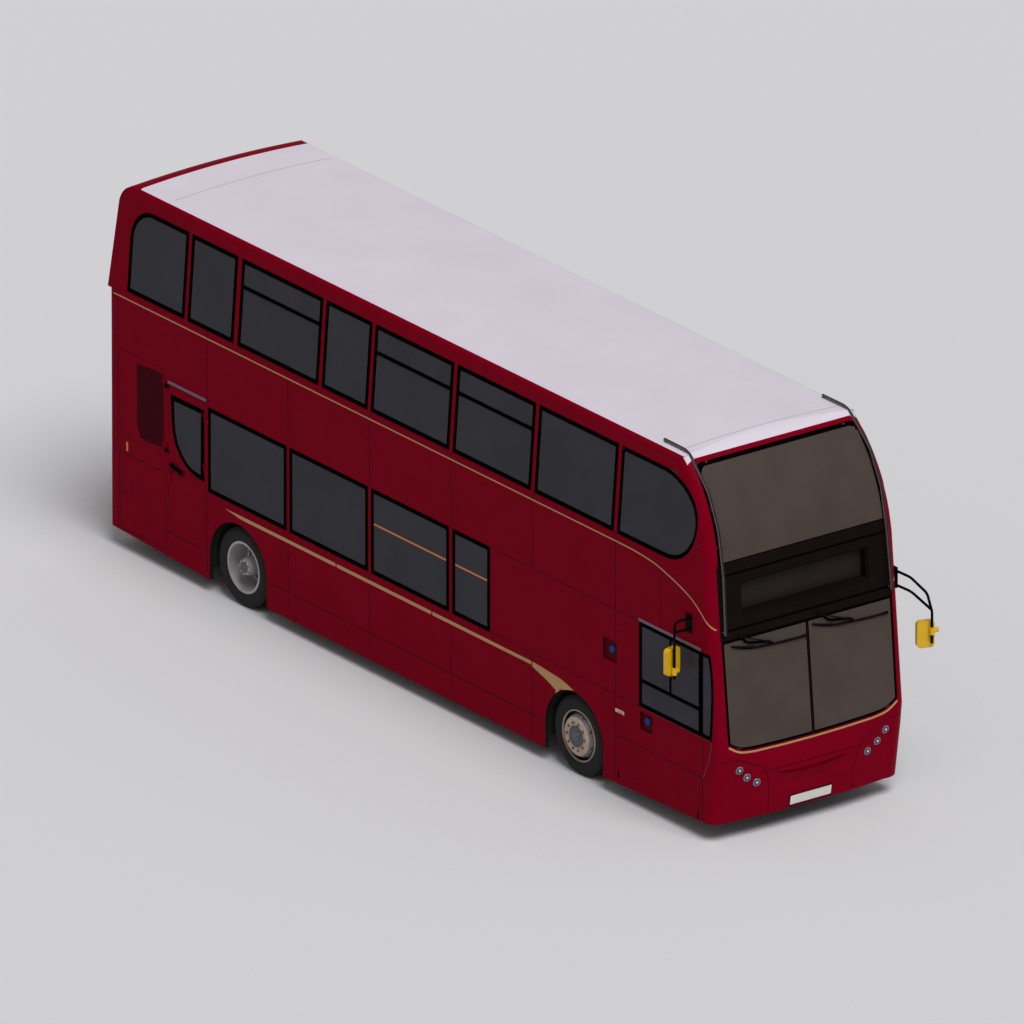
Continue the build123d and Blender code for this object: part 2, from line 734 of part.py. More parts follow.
spindle_end = 1180
knuckle_radius = 42
front_spindle = 55
for name, side in (("left", 1), ("right", -1)):
    y = side * kingpin_y
    pin = post(front_axle_x, y, axle_z - eye_half - 45, axle_z + eye_half + 45, kingpin_radius)
    lower = post(front_axle_x, y, axle_z - eye_half - 45, axle_z - eye_half - 5, knuckle_radius)
    upper = post(front_axle_x, y, axle_z + eye_half + 5, axle_z + eye_half + 45, knuckle_radius)
    yoke = block(
        front_axle_x - 40, front_axle_x + 40, *sorted((side * (kingpin_y + 48), side * (kingpin_y + 75))),
        axle_z - eye_half - 45, axle_z + eye_half + 45,
    )
    arms = []
    for z0, z1 in (
        (axle_z - eye_half - 45, axle_z - eye_half - 5), (axle_z + eye_half + 5, axle_z + eye_half + 45)
    ):
        arms.append(
            block(
                front_axle_x - 40, front_axle_x + 40, *sorted((side * kingpin_y, side * (kingpin_y + 50))),
                z0, z1
            )
        )
    spindle = drum(side * (kingpin_y + 70), side * spindle_end, front_spindle, front_axle_x, axle_z)
    knuckle = pin + lower + upper + yoke + spindle
    for arm in arms:
        knuckle = knuckle + arm
    save(f"knuckle_{name}", knuckle)

# ---------------------------------------------------------------- wheels and tyres
flange_radius = 300
front_outer_face = half_width - tyre_inset
tyre_shoulder = 34
tyre_bulge = 14


def tyre(y_outer):
    """One tyre, its outer side wall at y_outer, on the left side."""
    w = tyre_width
    inner_r = rim_radius + 0.3
    half_tread = w / 2 - tyre_shoulder
    mid = y_outer - w / 2
    outline = Polyline(
        (mid - w / 2 + 31, inner_r), (
            mid - w / 2 + 31, flange_radius + 0.5
        ), (mid - w / 2 + 16, flange_radius + 3),
        (mid - w / 2, flange_radius + 60),
        (mid - w / 2 + 6, tyre_radius - 45), (mid - half_tread, tyre_radius - 5), (mid, tyre_radius),
        (mid + half_tread, tyre_radius - 5), (mid + w / 2 - 6, tyre_radius - 45),
        (mid + w / 2, flange_radius + 60), (mid + w / 2 - 16, flange_radius + 3),
        (mid + w / 2 - 31, flange_radius + 0.5), (mid + w / 2 - 31, inner_r), (mid - w / 2 + 31, inner_r),
    )
    return turned(make_face(outline))


def rim(y_outer):
    """Barrel of one rim with its two flanges, as an outline in (y, radius)."""
    y_in = y_outer - tyre_width + 22
    y_out = y_outer - 22
    return make_face(Polyline(
        (y_in, rim_radius - 14), (y_in, flange_radius), (y_in + 8, flange_radius), (y_in + 8, rim_radius),
        (y_out - 8, rim_radius), (y_out - 8, flange_radius), (y_out, flange_radius), (y_out, rim_radius - 14),
        (y_in, rim_radius - 14),
    ))


def hand_holes(count, ring, radius, y0, y1):
    """Round holes through a wheel disc, on one ring."""
    holes = []
    for step in range(count):
        turn = 2 * pi * (step + 0.5) / count
        holes.append(drum(y0, y1, radius, ring * cos(turn), ring * sin(turn)))
    return holes


hand_hole_count = 10
hand_hole_ring = 218
hand_hole_radius = 24
hub_radius = 112


def front_wheel():
    """Front wheel: barrel, disc dished outward and hub, about the Y axis."""
    y = front_outer_face
    disc = make_face(Polyline(
        (
            y - 120, rim_radius - 14
        ), (y - 95, rim_radius - 14), (y - 45, 205), (y - 38, 140), (y - 30, hub_radius),
        (y - 8, hub_radius - 10), (y - 8, 0), (y - 28, 0), (y - 28, front_spindle + running_gap), (
            kingpin_y + 80, front_spindle + running_gap
        ),
        (
            kingpin_y + 80, hub_radius - 10
        ), (y - 70, hub_radius), (y - 64, 140), (y - 72, 205), (y - 120, rim_radius - 14),
    ))
    wheel = turned(rim(y)) + turned(disc)
    return take(wheel, hand_holes(hand_hole_count, hand_hole_ring + 16, hand_hole_radius, y - 140, y))


def rear_wheel():
    """Twin rear wheel: two barrels on one deep disc and a long hub, about the Y axis."""
    y = rear_outer_face
    y_mid = y - tyre_width - twin_gap / 2
    disc = make_face(Polyline(
        (y_mid - 18, rim_radius - 14), (y_mid + 18, rim_radius - 14), (y_mid + 40, 240), (y_mid + 18, 205),
        (
            y_mid + 18, hub_radius + 12
        ), (y - 75, hub_radius - 12), (y - 30, hub_radius - 22), (y - 30, 0), (y - 50, 0),
        (y - 50, rear_spindle + running_gap), (
            portal_y[1] + 20, rear_spindle + running_gap
        ), (portal_y[1] + 20, hub_radius + 12),
        (y_mid - 18, hub_radius + 12), (y_mid - 18, rim_radius - 14),
    ))
    spacer = make_face(Polyline(
        (y - tyre_width - twin_gap - 22, rim_radius - 14), (y - tyre_width - twin_gap - 22, rim_radius - 2),
        (y - tyre_width + 22, rim_radius - 2), (y - tyre_width + 22, rim_radius - 14),
        (y - tyre_width - twin_gap - 22, rim_radius - 14),
    ))
    wheel = turned(rim(y)) + turned(rim(y - tyre_width - twin_gap))
    wheel = wheel + turned(spacer) + turned(disc)
    return take(
        wheel, hand_holes(hand_hole_count, hand_hole_ring - 8, hand_hole_radius, y_mid - 60, y_mid + 60)
    )


for name, flip in (("left", False), ("right", True)):
    for end, x, wheel in (("front", front_axle_x, front_wheel()), ("rear", rear_axle_x, rear_wheel())):
        tyres = [tyre(front_outer_face)]
        if end == "rear":
            tyres = [tyre(rear_outer_face), tyre(rear_outer_face - tyre_width - twin_gap)]
        placed = [Pos(x, 0, axle_z) * piece for piece in [wheel] + tyres]
        if flip:
            placed = [mirror(piece, Plane.XZ) for piece in placed]
        save(f"wheel_{end}_{name}", placed[0])
        save(f"tyre_{end}_{name}", *placed[1:])

# ---------------------------------------------------------------- entrance doors
leaf_thickness = 36
leaf_y = half_width - 8 - leaf_thickness / 2
door_post_radius = 15
post_inset = 22
leaf_end_gap = 28
arm_thickness = 12
arm_clearance = 6
leaf_z = (lower_floor_z + panel_gap + arm_thickness + arm_clearance, door_head_z - 45)
door_mid_x = (door_rear_x + door_front_x) / 2
stile = 55
meeting_gap = 3

for name, direction in (("front", 1), ("rear", -1)):
    pivot_x = door_front_x - post_inset if direction > 0 else door_rear_x + post_inset
    reach = abs(pivot_x - door_mid_x)
    middle_x = (pivot_x + door_mid_x) / 2
    x0, x1 = sorted((door_mid_x + direction * meeting_gap, pivot_x - direction * leaf_end_gap))
    leaf = across(Pos((x0 + x1) / 2, sum(leaf_z) / 2) * Rectangle(x1 - x0, leaf_z[1] - leaf_z[0]),
                  leaf_y - leaf_thickness / 2, leaf_y + leaf_thickness / 2)
    light = Pos((x0 + x1) / 2, sum(leaf_z) / 2) * RectangleRounded(
        x1 - x0 - 2 * stile, leaf_z[1] - leaf_z[0] - 2 * stile, 35)
    leaf = leaf - across(light, 0, half_width + 50)
    pivot_radius = 10
    for z in leaf_z:
        leaf = leaf - post(middle_x, leaf_y, z - 30, z + 30, pivot_radius + 0.5)
    save(f"door_leaf_{name}", leaf)
    save(f"door_glass_{name}", across(light, leaf_y - 3, leaf_y + 3))
    arms = post(pivot_x, leaf_y, lower_floor_z + 0.3, door_head_z - 0.3, door_post_radius)
    for z0, pin in (
        (leaf_z[0] - arm_clearance - arm_thickness, (leaf_z[0] - arm_clearance, leaf_z[0] + 28)),
        (leaf_z[1] + arm_clearance, (leaf_z[1] - 28, leaf_z[1] + arm_clearance)),
    ):
        arms = arms + block(*sorted((pivot_x, middle_x)), leaf_y - 14, leaf_y + 14, z0, z0 + arm_thickness)
        arms = arms + post(middle_x, leaf_y, *pin, pivot_radius)
    save(f"door_arm_{name}", arms)

# ---------------------------------------------------------------- hinged doors and covers
hinge_radius = 8
hinge_proud = 8
hinge_pin = 4
hinge_length = 45


def side_door(x_range, z_range, light=None):
    """Right-hand side door as thick as the wall, hinged at its front edge."""
    x0, x1 = x_range[0] + panel_gap, x_range[1] - panel_gap
    z0, z1 = z_range[0] + panel_gap, z_range[1] - panel_gap
    zone = block(x0, x1, -half_width - 10, -half_width + wall + 10, z0, z1)
    return (shell & zone) if light is None else (shell & zone) - light


def knuckles(hinge_x, hinge_y, heights):
    """Hinge barrels on an upright axis: the door's half and the body's half with its pin."""
    door_side = None
    body_side = None
    for z in heights:
        barrel = post(hinge_x, hinge_y, z, z + hinge_length, hinge_radius)
        plate = block(hinge_x - 60, hinge_x, hinge_y, hinge_y + hinge_proud, z, z + hinge_length)
        half = (barrel + plate) - post(hinge_x, hinge_y, z - 5, z + hinge_length + 5, hinge_pin + 0.3)
        door_side = half if door_side is None else door_side + half
        fixed = post(hinge_x, hinge_y, z - hinge_length - 1, z - 1, hinge_radius)
        fixed = fixed + block(
            hinge_x, hinge_x + 60, hinge_y, hinge_y + hinge_proud, z - hinge_length - 1, z - 1
        )
        fixed = fixed + post(hinge_x, hinge_y, z - 1, z + hinge_length - 2, hinge_pin)
        body_side = fixed if body_side is None else body_side + fixed
    return door_side, body_side


hinge_y = -half_width - hinge_proud
emergency_hinge_x = emergency_x[1]
grille_hinge_x = grille_x[1]
light_face = shaped_bay(1168, 1769, 1302, 2125, (330, 40, 60, 60))
light_open = shaped_bay(1168, 1769, 1302, 2125, (330, 40, 60, 60), 40)
door = side_door(emergency_x, emergency_z)
light_prism = across(light_face, -half_width - 20, -half_width + 100)
door = door - across(light_open, -half_width - 20, -half_width + 100)
door = door - (glass_skin & light_prism)
door_knuckles, body_knuckles = knuckles(emergency_hinge_x, hinge_y, (850, 1450, 2050))
handle = block(1124, 1160, -half_width - 14, -half_width, 1060, 1200)
save("emergency_door", door + door_knuckles + handle)
save("emergency_glass", glass_skin & across(shaped_bay(1168, 1769, 1302, 2125, (330, 40, 60, 60), pane_gap),
                                            -half_width - 20, -half_width + 100))

grille_face = make_face(
    Polyline((540, 1560), (612, 1440), (1010, 1500), (1010, 2230), (540, 2300), (540, 1560))
)
grille_door = side_door(grille_x, grille_z)
grille_open = across(grille_face, -half_width - 20, -half_width + 100)
slats = []
slat_pitch = 62
for row in range(14):
    z = 1450 + row * slat_pitch
    blade = Pos(775, -half_width + 22, z) * Rot(35, 0, 0) * Box(520, 40, 6)
    slats.append(blade & grille_open)
grille_door = grille_door - grille_open
grille_knuckles, grille_body = knuckles(grille_hinge_x, hinge_y, (1470, 2230))
grille_door = grille_door + grille_knuckles
for slat in slats:
    grille_door = grille_door + slat
save("grille_door", grille_door)

cover_recess = 16
cover_axis = (8, cover_z[1] - 9)
cover = block(
    cover_recess, wall, -cover_half + panel_gap, cover_half - panel_gap, cover_z[0] + panel_gap,
    cover_axis[1] - 4
)
cover_slots = []
for row in range(8):
    z = 1000 + row * 38
    cover_slots.append(block(0, 200, -620, 620, z, z + 14))
cover = take(cover, cover_slots)
for y in (-600, 0, 600):
    barrel = Pos(cover_axis[0], y, cover_axis[1]) * Rot(90, 0, 0) * Cylinder(7, 60)
    leafplate = block(cover_axis[0], cover_recess, y - 30, y + 30, cover_axis[1] - 40, cover_axis[1])
    cover = cover + (
        (barrel + leafplate) - Pos(cover_axis[0], y, cover_axis[1]) * Rot(90, 0, 0) * Cylinder(3.3, 80)
    )
save("engine_cover", cover)
cover_hinges = None
for y in (-600, 0, 600):
    fixed = Pos(cover_axis[0], y + 52, cover_axis[1]) * Rot(90, 0, 0) * Cylinder(7, 40)
    fixed = fixed + Pos(cover_axis[0], y + 15, cover_axis[1]) * Rot(90, 0, 0) * Cylinder(3, 90)
    fixed = fixed + block(1, 15, y + 32, y + 72, cover_axis[1], cover_z[1])
    cover_hinges = fixed if cover_hinges is None else cover_hinges + fixed
save("hinges", body_knuckles, grille_body, *cover_hinges.solids())

# ---------------------------------------------------------------- inside: seats, stairs, cab
cab_floor_z = 640
seat_width = 880
seat_pitch = 720


def bench(x, y, z, width=seat_width, facing=1):
    """Double seat on a pedestal, its back at station x, facing forward or (-1) rearward."""
    outline = make_face(Polyline(
        (0, 330), (430, 350), (440, 440), (70, 430), (-60, 1080), (-130, 1080), (-40, 330), (0, 330)))
    seat = across(outline, -width / 2, width / 2)
    leg = block(120, 300, -60, 60, 0.3, 345)
    whole = seat + leg
    if facing < 0:
        whole = mirror(whole, Plane.YZ)
    return Pos(x, y, z) * whole


driver_base = block(10000, 10260, -830, -570, cab_floor_z + fit, cab_floor_z + 300)
driver_outline = make_face(Polyline(
    (9940, 930), (10340, 960), (10350, 1060), (10010, 1045), (9920, 1750), (9830, 1750), (9910, 930), (9940, 930),
))
driver_seat = driver_base + across(driver_outline, -940, -460)
seat_y = inner_half - seat_width / 2 - 25
lower_rows_right = [
    (3620, lower_floor_z), (4340, lower_floor_z), (5060, lower_floor_z), (5780, lower_floor_z),
    (6500, lower_floor_z)
]
lower_rows_left = lower_rows_right[:4]
platform_rows = [(1990, platform_z), (2700, platform_z)]
for name, side in (("right", -1), ("left", 1)):
    rows = lower_rows_right if side < 0 else lower_rows_left
    low = [bench(x, side * seat_y, z) for x, z in rows]
    upper_rows = [1000 + seat_pitch * row for row in range(13)]
    if side < 0:
        upper_rows = [x for x in upper_rows if x < stairwell[0] - 300] + [9700 + 260]
    high = [bench(x, side * (seat_y - 15), upper_floor_z) for x in upper_rows]
    if side < 0:
        low.append(driver_seat)
    save(f"seats_lower_{name}", *low)
    save(f"seats_upper_{name}", *high)

tread_count = 8
tread_rise = (upper_floor_z - lower_floor_z) / (tread_count + 1)
tread_going = 200
stair_front = stairwell[1] + 10
stair_rear = stair_front - tread_count * tread_going
stair_y = (-inner_half + 5, stairwell[2] - 2)
closed_treads = 3
soffit_low = (stair_front - closed_treads * tread_going, lower_floor_z + closed_treads * tread_rise - 10)
soffit_high = (stair_rear, lower_floor_z + tread_count * tread_rise - 40)
steps = []
for tread in range(tread_count):
    x1 = stair_front - tread * tread_going
    x0 = x1 - tread_going + fit
    top = lower_floor_z + (tread + 1) * tread_rise
    soffit = [lower_floor_z + fit, lower_floor_z + fit]
    if tread >= closed_treads:
        slope = (soffit_high[1] - soffit_low[1]) / (soffit_high[0] - soffit_low[0])
        soffit = [soffit_low[1] + (x - soffit_low[0]) * slope for x in (x0, x1)]
    face = make_face(Polyline((x0, soffit[0]), (x1, soffit[1]), (x1, top), (x0, top), (x0, soffit[0])))
    steps.append(across(face, *stair_y))
last_riser = block(stair_rear + fit, stair_rear + 30, *stair_y, soffit_high[1] + 40 + fit, upper_floor_z)
save("staircase", *steps, last_riser)

cab_x = (9760, 10640)
cab_y = (-inner_half + 5, -290)
cab_floor = block(*cab_x, *cab_y, lower_floor_z + fit, cab_floor_z)
partition = block(cab_x[0], cab_x[0] + 35, *cab_y, cab_floor_z, 2250)
half_door = block(cab_x[0] + 35, cab_x[1], cab_y[1] - 30, cab_y[1], cab_floor_z, 1350)
save("cab_enclosure", cab_floor + partition + half_door)
dash = make_face(Polyline(
    (10660, lower_floor_z + fit), (10860, lower_floor_z + fit), (10960, 700), (10960, 980), (10900, 1140),
    (10700, 1080), (10660, 900), (10660, lower_floor_z + fit),
))
dashboard = across(dash, -inner_half + 130, 560)
column = rod((10720, -700, 1040), (10543, -700, 1296.5), 30)
save("dashboard", dashboard + column)
wheel_plane = Plane(origin=(10540, -700, 1301), z_dir=Vector(-168, 0, 244))
steering_wheel = wheel_plane * Torus(225, 14)
steering_wheel = steering_wheel + wheel_plane * Pos(0, 0, 4) * Cylinder(45, 18)
for spoke in range(3):
    steering_wheel = steering_wheel + wheel_plane * Rot(
        0, 0, 90 + 120 * spoke
    ) * Pos(120, 0, 4) * Box(220, 22, 10)
save("steering_wheel", steering_wheel)
rail_radius = 16
poles = []
for x in (3640, 5060, 6500, 7700):
    for side in (-1, 1):
        poles.append(post(x, side * 300, lower_floor_z + 0.3, ceiling_z - 0.3, rail_radius))
orange = [rod((6300 - 1400, -inner_half + 40, 1790), (7560, -inner_half + 40, 1790), 15)]
save(
    "handrails", *poles, *orange,
    *[block(x - 10, x + 10, -inner_half + 0.3, -inner_half + 40, 1782, 1798) for x in (5000, 6290, 7500)]
)

# ---------------------------------------------------------------- outside fittings
caps = []
for x0, x1, z0, z1 in filler_places:
    x, z = x1 - 95, (z0 + z1) / 2 + 15
    caps.append(drum(-half_width + 3, -half_width + pocket_depth - fit, cap_radius, x, z))
save("filler_caps", *caps)
mirror_tube = 15
mirror_half = half_width + 285
head_size = (200, 310)
head_depth = 66


def mirror_head(x, y, z, turn):
    """Mirror housing with rounded edges, turned about the upright towards the driver."""
    width, height = head_size
    case = fillet(Box(head_depth, width, height).edges().filter_by(Axis.X), 45)
    return Pos(x, y, z) * Rot(0, 0, turn) * case


def mirror_clamp(tube, z, y_end):
    """Clamp that grips the tube in front of the housing, with its turning knob."""
    body = post(*tube, z - 42, z + 42, mirror_tube + 14)
    body = body + block(tube[0] - 60, tube[0], tube[1] - 20, tube[1] + 20, z - 30, z + 30)
    knob = drum(*sorted((tube[1], y_end)), 30, tube[0], z)
    return (body + knob) - post(*tube, z - 80, z + 80, mirror_tube + fit / 2)


right_tube = (10605, -mirror_half + 85)
left_tube = (body_length + mirror_reach - 45, mirror_half - 74)
bracket = block(10550, 10660, -half_width - 10, -half_width, 2360, 2575)
right_arm = tube_path(
    [(right_tube[0], -half_width - 10, 2520), (*right_tube, 2520), (*right_tube, 1860)], 60, mirror_tube
)
right_arm = right_arm + rod((right_tube[0], -half_width - 10, 2400), (*right_tube, 2400), mirror_tube)
arm_root = (10945, half_width - 25)
left_arm = tube_path(
    [(*arm_root, 2590), (11180, 1300, 2565), (left_tube[0] - 30, left_tube[1] - 45, 2380),
     (*left_tube, 2160), (*left_tube, 1795)], [90, 160, 160], mirror_tube)
left_arm = left_arm + tube_path(
    [(*arm_root, 2425), (11180, 1310, 2395), (*left_tube, 2180)], 120, mirror_tube)
foot_plate = block(10900, 10985, half_width - 30, half_width + 2, 2385, 2625)
left_arm = (left_arm + foot_plate) - outer_form
save("mirror_arms", right_arm + bracket, left_arm)
right_turn = radians(12)
right_span = head_size[0] / 2 * cos(right_turn) + head_depth / 2 * sin(right_turn)
head_right = mirror_head(right_tube[0] - 72, right_span - mirror_half, 2045, degrees(right_turn))
head_right = head_right + mirror_clamp(right_tube, 1950, right_tube[1] + 45)
head_left = mirror_head(left_tube[0] - 80, left_tube[1] - 35, 1890, -20)
head_left = head_left + mirror_clamp(left_tube, 1940, mirror_half)
save("mirror_heads", head_right - post(*right_tube, 0, 4000, mirror_tube + fit / 2),
     head_left - post(*left_tube, 0, 4000, mirror_tube + fit / 2))

guard_radius = 16
guard_stand = 50
guards = []
for side in (-1, 1):
    angles = [dome_start + (dome_end - dome_start) * k / 3 for k in range(4)]
    points = [
        (front_x(2430) + guard_stand, side * 1130, 2430), (front_x(3100) + guard_stand, side * 1112, 3100)
    ]
    points += [(on_dome(a, -guard_stand)[0], side * (1105 - 8 * k), on_dome(a, -guard_stand)[1])
               for k, a in enumerate(angles[1:3])]
    points += [(10330, side * 1080, 4335), (9894, side * 1075, 4335)]
    guard = tube_path(points, [900, 500, 500, 250], guard_radius)
    stub_low = rod(
        (front_x(2455) - 20, side * 1130, 2455), (front_x(2455) + guard_stand, side * 1130, 2455), 11
    )
    stub_high = rod((9910, side * 1075, 4250), (9910, side * 1075, 4335), 11)
    guards.append((guard + stub_low + stub_high) - outer_form)
save("front_guards", *guards)

wiper_blade = 11
wipers = []
for pivot_y in (-918, 168):
    pivot = (front_x(2362) - 30, pivot_y, 2362)
    elbow = (front_x(2214) + 30, pivot_y + 410, 2214)
    tip = (front_x(2180) + 26, pivot_y + 451, 2180)
    arm = rod((front_x(2362) + 26, pivot_y, 2362), elbow, 8) + rod(elbow, tip, 8)
    spindle = rod(pivot, (front_x(2362) + 36, pivot_y, 2362), 16)
    blade_z = (2266, 2186, 2163)
    blade_y = (pivot_y - 100, pivot_y + 250, pivot_y + 910)
    blade = rod(
        (front_x(blade_z[0]) + 14, blade_y[0], blade_z[0]),
        (front_x(blade_z[1]) + 14, blade_y[1], blade_z[1]), wiper_blade
    )
    blade = blade + rod(
        (front_x(blade_z[1]) + 14, blade_y[1], blade_z[1]),
        (front_x(blade_z[2]) + 14, blade_y[2], blade_z[2]), wiper_blade
    )
    wipers.append((arm + spindle + blade) - outer_form)
save("wipers", *wipers)
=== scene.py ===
"""Looks of the double-decker bus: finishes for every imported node, and the trim that rides on them. Metres."""
import math

import bmesh
import bpy
from mathutils import Matrix, Vector
from mathutils.bvhtree import BVHTree


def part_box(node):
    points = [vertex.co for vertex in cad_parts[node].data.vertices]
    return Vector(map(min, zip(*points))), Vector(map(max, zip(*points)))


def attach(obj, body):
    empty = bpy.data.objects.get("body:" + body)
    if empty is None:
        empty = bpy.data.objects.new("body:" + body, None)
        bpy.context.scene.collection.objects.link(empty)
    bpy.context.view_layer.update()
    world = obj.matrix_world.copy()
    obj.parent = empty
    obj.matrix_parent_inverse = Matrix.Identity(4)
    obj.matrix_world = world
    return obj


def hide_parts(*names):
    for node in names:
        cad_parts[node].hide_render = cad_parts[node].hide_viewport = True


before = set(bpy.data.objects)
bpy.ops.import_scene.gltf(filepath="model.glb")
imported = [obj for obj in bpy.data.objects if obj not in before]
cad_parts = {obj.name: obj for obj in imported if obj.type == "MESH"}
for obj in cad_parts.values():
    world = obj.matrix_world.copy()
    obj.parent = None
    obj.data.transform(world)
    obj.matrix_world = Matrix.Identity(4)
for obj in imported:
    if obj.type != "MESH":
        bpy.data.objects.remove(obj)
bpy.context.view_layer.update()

# ---- places, taken from the frame
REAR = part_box("rear_panel")[0][0]
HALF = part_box("side_lower_left")[1][1]  # half the width over the side panels
FRONT_AXLE, REAR_AXLE, WHEEL_Z = 8.535, 2.4, 0.46
BODY = "bus_body"


def at(station, y, z):
    """Point of the row frame from a station measured forward of the rear face."""
    return Vector((REAR + station, y, z))


# ---- materials
def srgb(r, g, b):
    """Linear colour from 0-255 display values."""
    def channel(c):
        c = c / 255
        return c / 12.92 if c <= 0.04045 else ((c + 0.055) / 1.055) ** 2.4
    return (channel(r), channel(g), channel(b), 1.0)


def scaled(colour, k):
    """A colour made lighter or darker."""
    return (min(colour[0] * k, 1), min(colour[1] * k, 1), min(colour[2] * k, 1), 1.0)


def new_material(name):
    """Empty node material with its shader."""
    material = bpy.data.materials.new(name)
    material.use_nodes = True
    tree = material.node_tree
    return material, tree, tree.nodes["Principled BSDF"]


def set_inputs(node, **values):
    """Values of a node's inputs, with underscores for the spaces in their names."""
    for key, value in values.items():
        node.inputs[key.replace("_", " ")].default_value = value


def noise(tree, scale, detail):
    """Noise on the object's own coordinates."""
    coords = tree.nodes.new("ShaderNodeTexCoord")
    texture = tree.nodes.new("ShaderNodeTexNoise")
    set_inputs(texture, Scale=scale, Detail=detail)
    tree.links.new(coords.outputs["Object"], texture.inputs["Vector"])
    return texture


def tint(tree, shader, texture, low, high):
    """Base colour that drifts between two shades along a texture."""
    ramp = tree.nodes.new("ShaderNodeValToRGB")
    for element, place, colour in zip(ramp.color_ramp.elements, (0.35, 0.65), (low, high)):
        element.position = place
        element.color = colour
    tree.links.new(texture.outputs["Fac"], ramp.inputs["Fac"])
    tree.links.new(ramp.outputs["Color"], shader.inputs["Base Color"])


def roughen(tree, shader, texture, low, high):
    """Roughness that drifts between two values along a texture."""
    spread = tree.nodes.new("ShaderNodeMapRange")
    set_inputs(spread, To_Min=low, To_Max=high)
    tree.links.new(texture.outputs["Fac"], spread.inputs["Value"])
    tree.links.new(spread.outputs["Result"], shader.inputs["Roughness"])


def bump(tree, shader, texture, strength):
    """Fine relief from a texture."""
    node = tree.nodes.new("ShaderNodeBump")
    set_inputs(node, Strength=strength, Distance=0.001)
    tree.links.new(texture.outputs["Fac"], node.inputs["Height"])
    tree.links.new(node.outputs["Normal"], shader.inputs["Normal"])


def surface(name, colour, rough, drift, scale, grain, relief, metallic=0, coat=0, specular=0.3):
    """General finish: drifting colour, uneven gloss and fine grain."""
    material, tree, shader = new_material(name)
    broad = noise(tree, scale, 5.0)
    fine = noise(tree, grain, 3.0)
    tint(tree, shader, broad, scaled(colour, 1 - drift), scaled(colour, 1 + drift))
    roughen(tree, shader, broad, *rough)
    bump(tree, shader, fine, relief)
    set_inputs(shader, Metallic=metallic, Coat_Weight=coat, Coat_Roughness=0.06, Specular_IOR_Level=specular)
    return material


def tinted_glass(name, colour, opacity):
    """Thin tinted pane: a gloss over a mix of see-through and tint."""
    material, tree, shader = new_material(name)
    set_inputs(shader, Roughness=0.08, Specular_IOR_Level=0.05, Alpha=opacity)
    tint(tree, shader, noise(tree, 2.0, 3.0), scaled(colour, 0.93), scaled(colour, 1.07))
    material.surface_render_method = "DITHERED"
    return material


